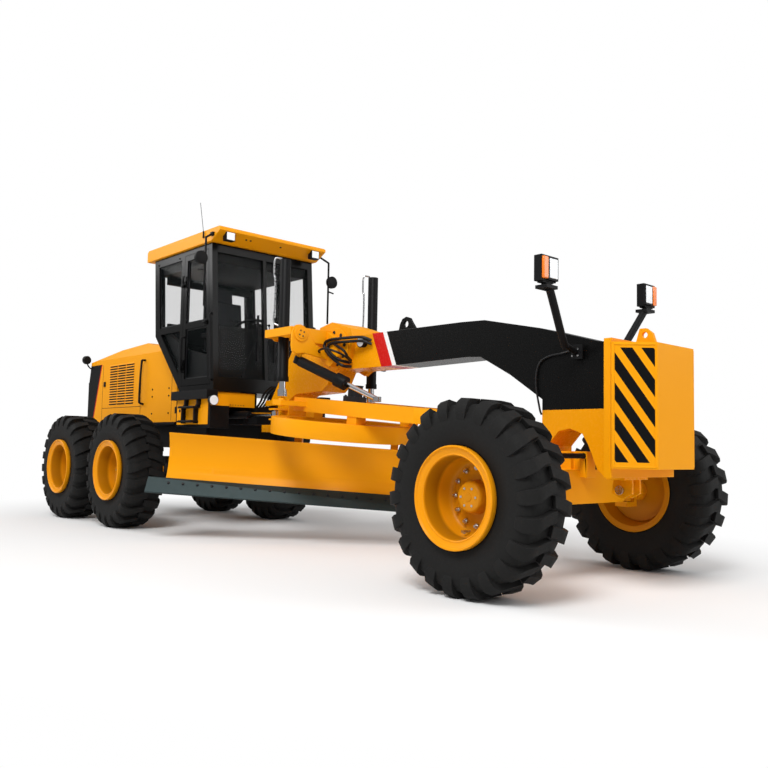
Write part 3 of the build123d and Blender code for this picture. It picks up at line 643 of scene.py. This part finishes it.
# ------------------------------------------------------------ hood
def hood_louvres(count):
    """Slots in the hood's sides, with a lip over each; each slot is a thin black sheet on the side, painted
    shade of the opening.
    """
    foot, rise, width = 1.53, 0.57, 0.25
    pitch = rise / count
    painted_slot_shade, lips = bmesh.new(), bmesh.new()
    for low in (-3.80, -3.535, -3.27):
        one_slot_shade, lip = bmesh.new(), bmesh.new()
        # Thin black sheet on the hood's side: painted shade where the slot opens under its lip
        box(one_slot_shade, (low + 0.006, HOOD_SIDE, foot),
            (low + width - 0.006, HOOD_SIDE + 0.0012, foot + pitch * 0.55))
        # How far out, and what share of the pitch up
        section = ((-0.002, 0.95), (0, 0.95), (0.009, 0.62), (0.009, 0.5), (-0.002, 0.72))
        plate(lip, [(HOOD_SIDE + out, foot + pitch * up) for out, up in section], low, low + width, 0)
        join(painted_slot_shade, repeated(one_slot_shade, count, move=(0, 0, pitch)))
        join(lips, repeated(lip, count, move=(0, 0, pitch)))
    piece("Hood painted slot shade", mirrored(painted_slot_shade), "plastic", REAR)
    piece("Hood louvres", mirrored(lips), "yellow", REAR)


def hood_seams():
    """Seams between the hood's panels."""
    seams = bmesh.new()
    low, high = HOOD_SIDE - 0.002, HOOD_SIDE + 0.0012
    for x in (-4.04, -2.8, -1.93):
        box(seams, (x - 0.003, low, 1.29), (x + 0.003, high, 2.125))
    box(seams, (-4.04, low, 1.487), (-2.8, high, 1.493))
    piece("Hood seams", mirrored(seams), "plastic", REAR)


def hood_rails():
    """Latches, bolts, grab rails, rear lamps on their stalks and the fillers' caps."""
    rails = bmesh.new()
    box(rails, (-3.99, HOOD_SIDE, 1.80), (-3.94, HOOD_SIDE + 0.012, 1.87))
    for x in (-2.455, -2.0):
        for z in (1.384, 1.605, 1.70):
            disc(rails, 1, (x, z), HOOD_SIDE, HOOD_SIDE + 0.008, 0.011, 6)
    # Grab rail: place along the hood, out from its side, and height
    route = ((-2.71, -0.004, 1.515), (-2.71, 0.05, 1.53), (-2.71, 0.062, 1.57), (-2.70, 0.062, 1.85),
             (-2.69, 0.055, 2.06), (-2.69, 0.045, 2.095), (-2.69, -0.004, 2.10))
    tube(rails, [(x, HOOD_SIDE + out, z) for x, out, z in route], 0.014)
    tube(rails, [(-4.47, 0.49, 2.08), (-4.5, 0.53, 2.12), (-4.54, 0.55, 2.18)], 0.01, 10)
    bar(rails, (-4.57, 0.555, 2.225), (-4.525, 0.545, 2.225), 0.062, 32)
    disc(rails, 2, (-2.2, 0.36), 2.27, 2.31, 0.05, 32)
    piece("Hood rails and latches", mirrored(rails), "plastic", REAR, bevel=0.0015)


def hood_top():
    """Exhaust stack with its foot ring, and the air cleaner's cover."""
    top = bmesh.new()
    stack, cleaner = (-2.85, 0.2), (-3.35, -0.15)
    disc(top, 2, stack, 2.33, 2.352, 0.085)
    disc(top, 2, stack, 2.35, 2.50, 0.055)
    bar(top, (*stack, 2.50), (-2.87, 0.2, 2.56), 0.055, 40, 0.05)
    disc(top, 2, cleaner, 2.29, 2.345, 0.07)
    disc(top, 2, cleaner, 2.345, 2.375, 0.09, tip=0.06)
    piece("Exhaust and air intake", top, "cast", REAR)


def rear_grille():
    """Slats across the rear and the tail lamps beside them."""
    count, pitch = 16, 0.03
    slat, tail = bmesh.new(), bmesh.new()
    plate(slat, [(-4.599, 1.352), (-4.609, 1.339), (-4.606, 1.335), (-4.596, 1.348)], -0.37, 0.37)
    disc(tail, 0, (0.44, 1.36), -4.558, -4.578, 0.032, 32)
    piece("Rear slats", repeated(slat, count, move=(0, 0, pitch)), "plastic", REAR)
    piece("Tail lamps", mirrored(tail), "red", REAR)


class GRADER_OT_hood(bpy.types.Operator):
    """Adds the hood's louvres, seams, latches, rails and rear grille"""

    bl_idname = "grader.hood"
    bl_label = "Hood trim"

    def execute(self, context):
        hood_louvres(context.scene.grader_sizes.louvres)
        hood_seams()
        hood_rails()
        hood_top()
        rear_grille()
        return {"FINISHED"}


# ------------------------------------------------------------ cab
def roof_lamps():
    """Lamps sunk in the roof's front and rear."""
    shells, lenses = bmesh.new(), bmesh.new()
    box(shells, (-0.545, 0.542, 3.298), (-0.468, 0.658, 3.398))
    box(lenses, (-0.472, 0.55, 3.306), (-0.4645, 0.65, 3.39))
    box(shells, (-0.54, 0.58, 3.39), (-0.5, 0.62, 3.41))
    box(shells, (-2.2318, 0.63, 3.33), (-2.19, 0.47, 3.40))
    box(lenses, (-2.2319, 0.62, 3.337), (-2.21, 0.48, 3.393))
    mirrored(shells)
    # Small caps on the roof's front
    for y in (-0.36, -0.3, 0.12):
        bar(shells, (-0.53, y, 3.365), (-0.521, y, 3.36), 0.012, 16)
    piece("Roof lamp shells", shells, "plastic", REAR, bevel=0.003)
    piece("Roof lamp lenses", mirrored(lenses), "lens", REAR, bevel=0.002)


def seal(bm, pane, width):
    """Rubber inside the outline of a pane, given as (x, z) points."""
    middle = [sum(values) / len(pane) for values in zip(*pane)]
    inner = [[c + (width if c < m else -width) for c, m in zip(point, middle)] for point in pane]
    for i in range(len(pane)):
        plate(bm, [pane[i - 1], pane[i], inner[i], inner[i - 1]], 0.683, 0.694)


def cab_seals():
    """Rubber round the fixed panes and the doors' panes."""
    fixed, door = bmesh.new(), bmesh.new()
    seal(fixed, [(-1.966, 3.199), (-1.8997, 2.4203), (-1.3803, 2.4203), (-1.3803, 3.199)], 0.016)
    seal(door, [(-1.2397, 3.1697), (-1.2397, 2.4203), (-0.7604, 2.4203), (-0.8143, 3.1697)], 0.014)
    seal(door, [(-1.2397, 2.3497), (-1.2397, 1.7603), (-0.7084, 1.7603), (-0.7544, 2.3497)], 0.014)
    piece("Cab seals", mirrored(fixed), "hose", REAR)
    piece_pair("Door seals", door, "hose", "door")


def door_handles():
    """The long grip behind each door and the latch lever."""
    grip = bmesh.new()
    x = -1.262
    tube(grip, [(x, CAB_FACE, 1.84), (x, 0.745, 1.855), (x, 0.752, 1.9), (x, 0.752, 2.2),
                (x, 0.745, 2.245), (x, CAB_FACE, 2.26)], 0.0115)
    box(grip, (-0.80, 0.71, 2.36), (-0.735, 0.722, 2.415))
    tube(grip, [(-0.79, 0.72, 2.388), (-0.78, 0.748, 2.388), (-0.73, 0.75, 2.387),
                (-0.715, 0.744, 2.387)], 0.008)
    piece_pair("Door handles", grip, "plastic", "door", 0.002)


def wipers_and_mirrors():
    """Wipers, grab rails by the doors, roof bolts, and the mirrors' glasses and backs."""
    rails, glass = bmesh.new(), bmesh.new()
    pivot, tip = 0.32, 0.12
    bar(rails, (-0.585, pivot, 1.79), (-0.566, pivot, 1.79), 0.02, 24)
    tube(rails, [(-0.57, pivot, 1.79), (-0.585, 0.24, 2.0), (-0.6, tip, 2.25)], 0.006, 8)
    box(rails, (-0.612, tip - 0.008, 1.98), (-0.584, tip + 0.008, 2.52))
    tube(rails, [(-0.6, 0.712, 1.72), (-0.575, 0.735, 1.74), (-0.578, 0.742, 1.8), (-0.625, 0.742, 2.4),
                 (-0.632, 0.735, 2.46), (-0.655, 0.712, 2.48)], 0.0125)
    for x in (-1.98, -1.44):
        disc(rails, 1, (x, 3.23), CAB_FACE, 0.716, 0.012, 6)
    disc(glass, 0, (0.925, 3.062), -0.5662, -0.5645, 0.069, 48)
    disc(rails, 0, (0.925, 3.062), -0.525, -0.515, 0.07, 48, 0.045)
    piece("Wipers and grab rails", mirrored(rails), "plastic", REAR)
    piece("Mirror glasses", mirrored(glass), "mirror", REAR, bevel=0.0008)


def cab_inside():
    """Levers, arm rests, dashboard, side trims, head lining and rear wall."""
    inside = bmesh.new()
    for k in range(5):
        x, y = -0.915 + 0.004 * k, 0.13 + 0.036 * k
        bar(inside, (x, y, 2.31), (x - 0.05, y, 2.47), 0.006, 10)
        ball(inside, (x - 0.053, y, 2.48), 0.016)
    box(inside, (-1.46, 0.30, 2.31), (-1.14, 0.375, 2.36))
    disc(inside, 2, (-1.42, 0.335), 2.14, 2.32, 0.018, 16)
    box(inside, (-1.46, 0.245, 2.14), (-1.38, 0.36, 2.165))
    plate(inside, [(-1.93, 2.42), (-1.36, 1.79), (-1.34, 1.67), (-0.7, 1.67), (-0.72, 2.0),
                   (-1.3, 2.12), (-1.9, 2.43)], 0.655, 0.60)
    mirrored(inside)
    box(inside, (-0.835, -0.1, 2.3), (-0.80, 0.1, 2.46))
    box(inside, (-0.70, -0.655, 1.665), (-0.66, 0.655, 2.36))
    plate(inside, [(-0.70, 2.3), (-0.70, 2.36), (-0.84, 2.33), (-0.84, 2.3)], -0.655, 0.655)
    plate(inside, [(-2.02, 3.10), (-0.78, 3.10), (-0.76, 3.24), (-2.02, 3.24)], -0.657, 0.657)
    box(inside, (-1.93, -0.6, 2.2), (-1.88, 0.6, 2.5))
    box(inside, (-1.955, -0.08, 2.4), (-1.90, 0.08, 3.2))
    box(inside, (-1.97, -0.6, 3.0), (-1.92, 0.6, 3.2))
    piece("Levers and arm rests", inside, "plastic", REAR, bevel=0.004)


def seat():
    """Padded cushion, back and head rest on a plinth."""
    cushion = bmesh.new()
    box(cushion, (-1.55, -0.245, 2.02), (-1.085, 0.245, 2.14))
    plate(cushion, [(-1.555, 2.11), (-1.465, 2.11), (-1.54, 2.80), (-1.635, 2.80)], -0.235, 0.235)
    plate(cushion, [(-1.552, 2.8), (-1.618, 2.8), (-1.643, 2.978), (-1.577, 2.978)], -0.117, 0.117)
    box(cushion, (-1.3, -0.16, 1.661), (-1.08, 0.16, 1.69))
    box(cushion, (-1.26, -0.09, 1.69), (-1.12, 0.09, 2.02))
    made = piece("Seat", cushion, "cloth", REAR, ["operator_seat"], bevel=0.03)


class GRADER_OT_cab(bpy.types.Operator):
    """Adds the cab's lamps, seals, wipers, rails, handles and inside fittings"""

    bl_idname = "grader.cab"
    bl_label = "Cab trim"

    def execute(self, context):
        roof_lamps()
        cab_seals()
        door_handles()
        wipers_and_mirrors()
        cab_inside()
        seat()
        return {"FINISHED"}


# ------------------------------------------------------------ frames
def head_lamps():
    """Lamps and indicators on their bent arms, bracketed to the beam."""
    shells, lenses, amber = (bmesh.new() for _ in range(3))
    box(shells, (3.944, 0.595, 2.2), (3.962, 0.705, 2.368))
    box(lenses, (3.957, 0.604, 2.214), (3.9655, 0.696, 2.354))
    box(amber, (3.944, 0.712, 2.205), (3.966, 0.768, 2.362))
    tube(shells, [(3.848, 0.345, 1.765), (3.868, 0.42, 1.842), (3.9, 0.55, 2.02),
                  (3.918, 0.628, 2.128), (3.92, 0.65, 2.15)], 0.029, 14)
    box(shells, (3.865, 0.605, 2.142), (3.965, 0.735, 2.166))
    disc(shells, 2, (3.915, 0.682), 2.165, 2.182, 0.03, 24)
    box(shells, (3.89, 0.625, 2.18), (3.94, 0.745, 2.192))
    box(shells, (3.80, 0.19, 1.69), (3.90, 0.204, 1.80))
    piece("Headlamp shells", mirrored(shells), "plastic", FRONT, bevel=0.004)
    piece("Headlamp lenses", mirrored(lenses), "lens", FRONT, bevel=0.003)
    piece("Indicator lenses", mirrored(amber), "amber", FRONT, bevel=0.006)


def work_lamps():
    """Round lamps ahead of the cab's platform and on the beam."""
    work, glasses, beam, beam_glasses = (bmesh.new() for _ in range(4))
    disc(work, 0, (0.82, 1.48), -0.4, -0.345, 0.048, 32, 0.058)
    disc(glasses, 0, (0.82, 1.48), -0.35, -0.3425, 0.052, 32)
    box(work, (-0.45, 0.80, 1.465), (-0.39, 0.84, 1.495))
    disc(beam, 1, (1.365, 2.03), 0.15, 0.215, 0.05, 32, 0.056)
    disc(beam_glasses, 1, (1.365, 2.03), 0.213, 0.219, 0.046, 32)
    piece("Beam lamps", mirrored(beam), "plastic", FRONT, bevel=0.003)
    piece("Beam lamp glasses", mirrored(beam_glasses), "lens", FRONT, bevel=0.002)
    piece("Work lamps", mirrored(work), "plastic", REAR, bevel=0.003)
    piece("Work lamp glasses", mirrored(glasses), "lens", REAR, bevel=0.002)


def platform():
    """Cross member and side strips under the cab, and the steps' treads."""
    strips, dark = bmesh.new(), bmesh.new()
    box(strips, (-0.456, 0.562, 1.43), (-0.4515, 0.798, 1.558))
    box(strips, (-1.2, 0.799, 1.22), (-0.5, 0.8035, 1.545))
    box(strips, (-0.6, 0.15, 1.43), (-0.575, 0.70, 1.59))
    for y in (0.2, 0.6):
        box(dark, (-0.6, y, 1.585), (-0.58, y + 0.05, 1.621))
    for k in range(6):
        disc(dark, 0, (0.3 + 0.035 * k, 1.45), -0.58, -0.573, 0.006, 8)
    # Ribs across the two steps
    for z in (1.262, 1.421):
        rib = bmesh.new()
        box(rib, (-1.0, 0.805, z - 0.001), (-0.992, 0.895, z + 0.004))
        join(dark, repeated(rib, 15, move=(0.02, 0, 0)))
    disc(dark, 1, (-1.13, 1.38), 0.80, 0.808, 0.018, 24)
    piece("Platform front strips", mirrored(strips), "yellow", REAR)
    piece("Step treads", mirrored(dark), "cast", REAR)


def hoses():
    """Hoses on the beam and the saddle, over the articulation, and the lift cylinders' pipes."""
    saddle = bmesh.new()
    tube(saddle, [(1.50, 0.19, 2.035), (1.42, 0.245, 2.068), (1.2, 0.29, 2.074), (1.0, 0.32, 2.066),
                  (0.935, 0.325, 2.02), (1.0, 0.325, 1.931), (1.11, 0.31, 1.85), (1.19, 0.28, 1.80),
                  (1.2, 0.19, 1.80)], 0.015)
    tube(saddle, [(1.50, 0.185, 2.0), (1.42, 0.24, 2.032), (1.22, 0.285, 2.037), (1.05, 0.315, 2.034),
                  (0.985, 0.32, 1.995), (1.055, 0.315, 1.915), (1.14, 0.28, 1.86), (1.18, 0.19, 1.84)], 0.015)
    tube(saddle, [(1.038, 0.25, 2.046), (1.06, 0.30, 2.03), (1.145, 0.31, 1.99), (1.216, 0.29, 1.94),
                  (1.218, 0.25, 1.89), (1.2, 0.19, 1.86)], 0.013)
    tube(saddle, [(0.955, 0.40, 1.94), (0.99, 0.43, 1.955), (1.08, 0.43, 1.965), (1.2, 0.38, 1.93),
                  (1.24, 0.28, 1.88), (1.2, 0.19, 1.84)], 0.011)
    mirrored(saddle)
    # The lamps' cable, down the beam's right side
    tube(saddle, [(3.80, -0.195, 1.76), (3.697, -0.172, 1.748), (3.567, -0.172, 1.73), (3.478, -0.173, 1.67),
                  (3.455, -0.173, 1.52), (3.49, -0.173, 1.33), (3.5, -0.16, 1.28)], 0.008, 10)
    piece("Saddle hoses", saddle, "hose", FRONT)

    joint = bmesh.new()
    for k in range(6):
        y = 0.05 * k - 0.125
        tube(joint, [(-0.6, y * 0.8, 1.441), (-0.52, y * 0.85, 1.50), (-0.42, y * 0.95, 1.60),
                     (-0.28, y, 1.66), (-0.17, y, 1.645), (-0.1, y, 1.66)], 0.0125, 10)
    bent = piece("Joint hoses", joint, "hose", None)
    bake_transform(bent)

    route = ((0.58, 0.02, 2.915), (0.55, 0.07, 2.92), (0.54, 0.084, 2.88), (0.54, 0.084, 2.74),
             (0.55, 0.078, 2.69), (0.55, 0.078, 2.42), (0.545, 0.08, 2.26), (0.58, 0.05, 2.22))
    for name, side in SIDES:
        pipe = bmesh.new()
        tube(pipe, [(x, side * LIFT_Y - y, z) for x, y, z in route], 0.009)
        piece(f"Lift pipe {name}", pipe, "steel", f"lift_barrel_{name}")


def pins_and_bolts():
    """Pins, their keepers and the bolts of the bolted joints."""
    pins, bolt = bmesh.new(), bmesh.new()
    for x in (0.768, 0.482):
        disc(pins, 0, (LIFT_Y, LIFT_Z), x - 0.004, x + 0.004, 0.034, 6)
    for x in (0.82, 0.92):
        for z in (2.05, 2.15):
            disc(pins, 0, (0.45, z), x - 0.014, x + 0.014, 0.008, 6)
    disc(bolt, 1, (4.2, 0.93), 0.16, 0.171, 0.016, 6)
    join(pins, repeated(bolt, 7, move=(0, 0, 0.125)))
    # Clamp bolts of the lamp arms
    for z in (1.715, 1.765):
        for x in (3.81, 3.86):
            disc(pins, 1, (x, z), 0.2, 0.208, 0.008, 6)
    mirrored(pins)
    # Articulation pin's caps and bolts, then the nose's tow pin
    disc(pins, 2, (HINGE_X, 0), 1.5085, 1.522, 0.07)
    disc(pins, 2, (HINGE_X, 0), 1.136, 1.1495, 0.07)
    bar_circle(pins, 2, (HINGE_X, 0), 0.052, 6, 1.52, 1.53, 0.009, 6)
    disc(pins, 1, (4.14, 0.725), -0.088, 0.08, 0.0205, 24)
    disc(pins, 1, (4.14, 0.725), -0.1, -0.086, 0.033, 24)
    piece("Pins and bolts", pins, "steel", FRONT, bevel=0.0012)


def nose_lips():
    """Lips round the nose's two wings."""
    lips = bmesh.new()
    outer, inner = Vector((4.31, 0.47, 0)), Vector((4.535, 0.25, 0))
    sunk = Vector((0.7, 0.714, 0)) * 0.0049
    # Shares of the way inward, and heights, of the wing's corners
    corners = ((0.04, 0.9), (0.96, 0.9), (0.96, 1.74), (0.04, 1.74))
    places = [outer.lerp(inner, share) - sunk + Vector((0, 0, z)) for share, z in corners]
    for k in range(4):
        bar(lips, places[k - 1], places[k], 0.011, 10)
    piece("Nose lips", mirrored(lips), "yellow", FRONT)


def saddle_bosses():
    """Index plate with its holes, trunnion caps, and the arms' cheeks, bosses and webs; the holes are thin
    dark discs, painted shade.
    """
    boss, painted_hole_shade = bmesh.new(), bmesh.new()
    index, arm = (SADDLE_X, SADDLE_Z), (ARM_BOSS_Y, ARM_BOSS_Z)
    disc(boss, 1, index, 0.21, 0.238, 0.215, 64)
    disc(boss, 1, index, 0.236, 0.252, 0.12, 48)
    # Thin dark discs on the index plate: painted shade of its holes
    bar_circle(painted_hole_shade, 1, index, 0.168, 9, 0.236, 0.2395, 0.021, 24, 0.2)
    disc(painted_hole_shade, 1, index, 0.25, 0.2535, 0.035, 24)
    for low, high in ((0.755, 0.775), (0.475, 0.492)):
        disc(boss, 0, (LIFT_Y, LIFT_Z), low, high, 0.062)
    plate(boss, [(0.27, 1.985), (0.43, 1.992), (0.504, 2.066), (0.56, 2.145), (0.59, 2.18), (0.64, 2.196),
                 (0.69, 2.187), (0.727, 2.16), (0.742, 2.11), (0.748, 1.98), (0.735, 1.925), (0.69, 1.902),
                 (0.64, 1.91), (0.59, 1.918), (0.452, 1.893), (0.27, 1.87)], 0.9385, 0.96, 0)
    disc(boss, 0, arm, 0.955, 0.972, 0.08, 48)
    disc(boss, 0, arm, 0.97, 0.98, 0.052)
    disc(boss, 0, (0.685, 2.125), 0.76, 0.94, 0.05, 32)
    plate(boss, [(0.805, 2.165), (0.935, 2.165), (1.1, 2.08), (1.12, 1.9), (1.0, 1.8),
                 (0.86, 1.86), (0.8, 2.0)], 0.215, 0.30)
    mirrored(painted_hole_shade)
    # The arms' bosses' holes, also thin dark discs of painted shade
    for _, side in SIDES:
        bar_circle(painted_hole_shade, 0, (side * ARM_BOSS_Y, ARM_BOSS_Z), 0.03, 4, 0.979, 0.982, 0.0085, 12, 0.5)
    piece("Saddle bosses", mirrored(boss), "yellow", FRONT, bevel=0.004)
    piece("Saddle painted hole shade", painted_hole_shade, "cast", FRONT)


class GRADER_OT_front(bpy.types.Operator):
    """Adds the lamps, hoses, pins and steps of the two frames"""

    bl_idname = "grader.front"
    bl_label = "Frame trim"

    def execute(self, context):
        head_lamps()
        work_lamps()
        platform()
        hoses()
        pins_and_bolts()
        nose_lips()
        saddle_bosses()
        return {"FINISHED"}


# ------------------------------------------------------------ blade
# The circle's own axes, and the mouldboard's, turned with the circle
CIRCLE_AXES = Matrix.Translation((0.945, 0, 1.474)) @ Matrix.Rotation(radians(5), 4, "Y")
BLADE_AXES = CIRCLE_AXES @ Matrix.Rotation(radians(48.1), 4, "Z")
Y_TO_Z = Matrix.Rotation(pi / 2, 4, "X")


def moved(bm, matrix):
    """The bmesh, moved by a matrix."""
    bmesh.ops.transform(bm, verts=bm.verts, matrix=matrix)
    return bm


def circle_teeth(count):
    """Teeth inside the circle."""
    root, tip = 0.6205, 0.594
    tooth = bmesh.new()
    plate(tooth, [(root, -0.018), (root, 0.018), (tip, 0.007), (tip, -0.007)], -0.378, -0.30, 2)
    teeth = repeated(moved(tooth, Y_TO_Z), count, turn=(0, 2 * pi / count, 0))
    piece("Circle teeth", moved(teeth, CIRCLE_AXES @ Y_TO_Z.inverted()), "cast", "circle")


def turning_drive():
    """The motor on the drawbar that turns the circle, with its bolts."""
    drive, bolt = bmesh.new(), bmesh.new()
    x, flange = 0.1, 0.05
    disc(drive, 2, (x, 0), -0.022, flange, 0.12)
    disc(drive, 2, (x, 0), flange, 0.15, 0.075)
    disc(drive, 2, (x, 0), 0.15, 0.165, 0.085, 6)
    disc(bolt, 1, (x, 0), 0, 0.012, 0.011, 6)
    count = 10
    bolts = repeated(bolt, count, turn=(0, 2 * pi / count, 0))
    join(drive, moved(bolts, Matrix.Translation((x, 0, flange)) @ Y_TO_Z))
    piece("Turning drive", moved(drive, CIRCLE_AXES), "cast", "drawbar", bevel=0.002)


def edge_bolts():
    """Bolts of the cutting edge."""
    count, pitch, first = 24, 0.151, -1.80
    bolt = bmesh.new()
    bar(bolt, (first, 0.047, -0.994), (first, 0.0352, -0.9855), 0.0155, 20, 0.012)
    along = BLADE_AXES.to_3x3() @ Vector((pitch, 0, 0))
    piece("Edge bolts", repeated(moved(bolt, BLADE_AXES), count, move=tuple(along)), "cast", "blade")


class GRADER_OT_blade(bpy.types.Operator):
    """Adds the circle's teeth, the turning drive and the edge's bolts"""

    bl_idname = "grader.blade"
    bl_label = "Blade trim"

    def execute(self, context):
        circle_teeth(context.scene.grader_sizes.circle_teeth)
        turning_drive()
        edge_bolts()
        return {"FINISHED"}


# ------------------------------------------------------------ studio
def floor():
    """A pale floor that fades to white away from the machine."""
    bm = bmesh.new()
    bmesh.ops.create_grid(bm, x_segments=1, y_segments=1, size=60)
    ground = link_new("Floor", mesh_of("Floor", bm))
    tree, shader = finish("floor", "Pale floor", (0.8, 0.8, 0.8), 0.9, shine=0.0)
    _, x, y, _ = place_of(tree)
    across = product(tree, y, y, 2.2)
    far = maths(tree, "SQRT", maths(tree, "MULTIPLY_ADD", x, x, across))
    fade = add(tree, "ShaderNodeMapRange", {"Value": far, "From Min": 4.2, "From Max": 7.5},
               interpolation_type="SMOOTHSTEP")
    ray = add(tree, "ShaderNodeLightPath").outputs["Is Camera Ray"]
    white = add(tree, "ShaderNodeEmission")
    blend = add(tree, "ShaderNodeMixShader", {0: product(tree, fade.outputs["Result"], ray),
                                              1: shader.outputs[0], 2: white.outputs[0]})
    feed(tree, tree.nodes["Material Output"].inputs["Surface"], blend.outputs[0])
    ground.data.materials.append(MATERIALS["floor"])


def sky():
    """White behind the machine, and a soft light that grows with height on it."""
    world = bpy.data.worlds.new("Studio")
    bpy.context.scene.world = world
    world.use_nodes = True
    tree = world.node_tree
    tree.nodes.clear()
    path = add(tree, "ShaderNodeLightPath").outputs
    seen = maths(tree, "MAXIMUM", path["Is Camera Ray"], path["Is Transmission Ray"])
    coords = add(tree, "ShaderNodeTexCoord").outputs["Generated"]
    height = add(tree, "ShaderNodeSeparateXYZ", {0: coords}).outputs[2]
    light = add(tree, "ShaderNodeMapRange", {"Value": height, "From Min": -0.15, "From Max": 0.8,
                                             "To Min": 0.2, "To Max": 0.58}).outputs["Result"]
    soft = add(tree, "ShaderNodeBackground", {"Color": (1, 1, 1), "Strength": light})
    white = add(tree, "ShaderNodeBackground", {"Color": (1, 1, 1)})
    blend = add(tree, "ShaderNodeMixShader", {0: seen, 1: soft.outputs[0], 2: white.outputs[0]})
    add(tree, "ShaderNodeOutputWorld", {0: blend.outputs[0]})


def lamps():
    """Three large round lamps, aimed at the machine."""
    aim = Vector((0.5, 0, 1.2))
    for name, spot, size, power in (("Key", (7, -9, 11), 6, 1500), ("Fill", (10, 6, 6), 8, 380),
                                    ("Rear", (-9, -6, 8), 7, 500)):
        data = bpy.data.lights.new(name, "AREA")
        data.shape = "DISK"
        data.size = size
        data.energy = power
        lamp = link_new(name, data)
        lamp.location = spot
        lamp.rotation_euler = (aim - lamp.location).to_track_quat("-Z", "Y").to_euler()


def camera():
    """The camera, ahead of the machine on its right."""
    data = bpy.data.cameras.new("Camera")
    data.sensor_width = 36
    data.lens = 37.65
    data.shift_x = 0.0066
    data.shift_y = 0.0135
    data.clip_end = 200
    yaw, climb, roll = radians(48.0491), radians(3.7811), radians(1.083)
    ahead = Vector((-sin(yaw) * cos(climb), cos(yaw) * cos(climb), sin(climb)))
    right = Vector((cos(yaw), sin(yaw), 0))
    up = right.cross(ahead)
    right, up = right * cos(roll) + up * sin(roll), up * cos(roll) - right * sin(roll)
    turn = Matrix((right, up, -ahead)).transposed().to_4x4()
    made = link_new("Camera", data)
    made.matrix_world = Matrix.Translation((7.31632, -5.30460, 1.00034)) @ turn
    bpy.context.scene.camera = made


class GRADER_OT_studio(bpy.types.Operator):
    """Sets the floor, the soft lights and the camera"""

    bl_idname = "grader.studio"
    bl_label = "Studio"

    def execute(self, context):
        floor()
        sky()
        lamps()
        camera()
        context.scene.view_settings.view_transform = "Standard"
        return {"FINISHED"}


# ------------------------------------------------------------ panel
STEPS = (GRADER_OT_paint, GRADER_OT_tyres, GRADER_OT_rims, GRADER_OT_hood, GRADER_OT_cab,
         GRADER_OT_front, GRADER_OT_blade, GRADER_OT_studio)


class GRADER_PT_panel(bpy.types.Panel):
    """Steps and settings of the motor grader"""

    bl_idname = "GRADER_PT_panel"
    bl_label = "Motor grader"
    bl_space_type = "VIEW_3D"
    bl_region_type = "UI"
    bl_category = "Grader"

    def draw(self, context):
        layout = self.layout
        for step in STEPS:
            layout.operator(step.bl_idname)
        for group in (context.scene.grader_paint, context.scene.grader_sizes):
            for name in group.__annotations__:
                layout.prop(group, name)


CLASSES = (GraderPaint, GraderSizes, *STEPS, GRADER_PT_panel)


def register():
    for cls in CLASSES:
        bpy.utils.register_class(cls)
    bpy.types.Scene.grader_paint = bpy.props.PointerProperty(type=GraderPaint)
    bpy.types.Scene.grader_sizes = bpy.props.PointerProperty(type=GraderSizes)


def unregister():
    del bpy.types.Scene.grader_sizes
    del bpy.types.Scene.grader_paint
    for cls in reversed(CLASSES):
        bpy.utils.unregister_class(cls)


def main():
    register()
    bpy.ops.grader.paint()
    bpy.ops.grader.tyres()
    bpy.ops.grader.rims()
    bpy.ops.grader.hood()
    bpy.ops.grader.cab()
    bpy.ops.grader.front()
    bpy.ops.grader.blade()
    bpy.ops.grader.studio()


if __name__ == "__main__":
    main()
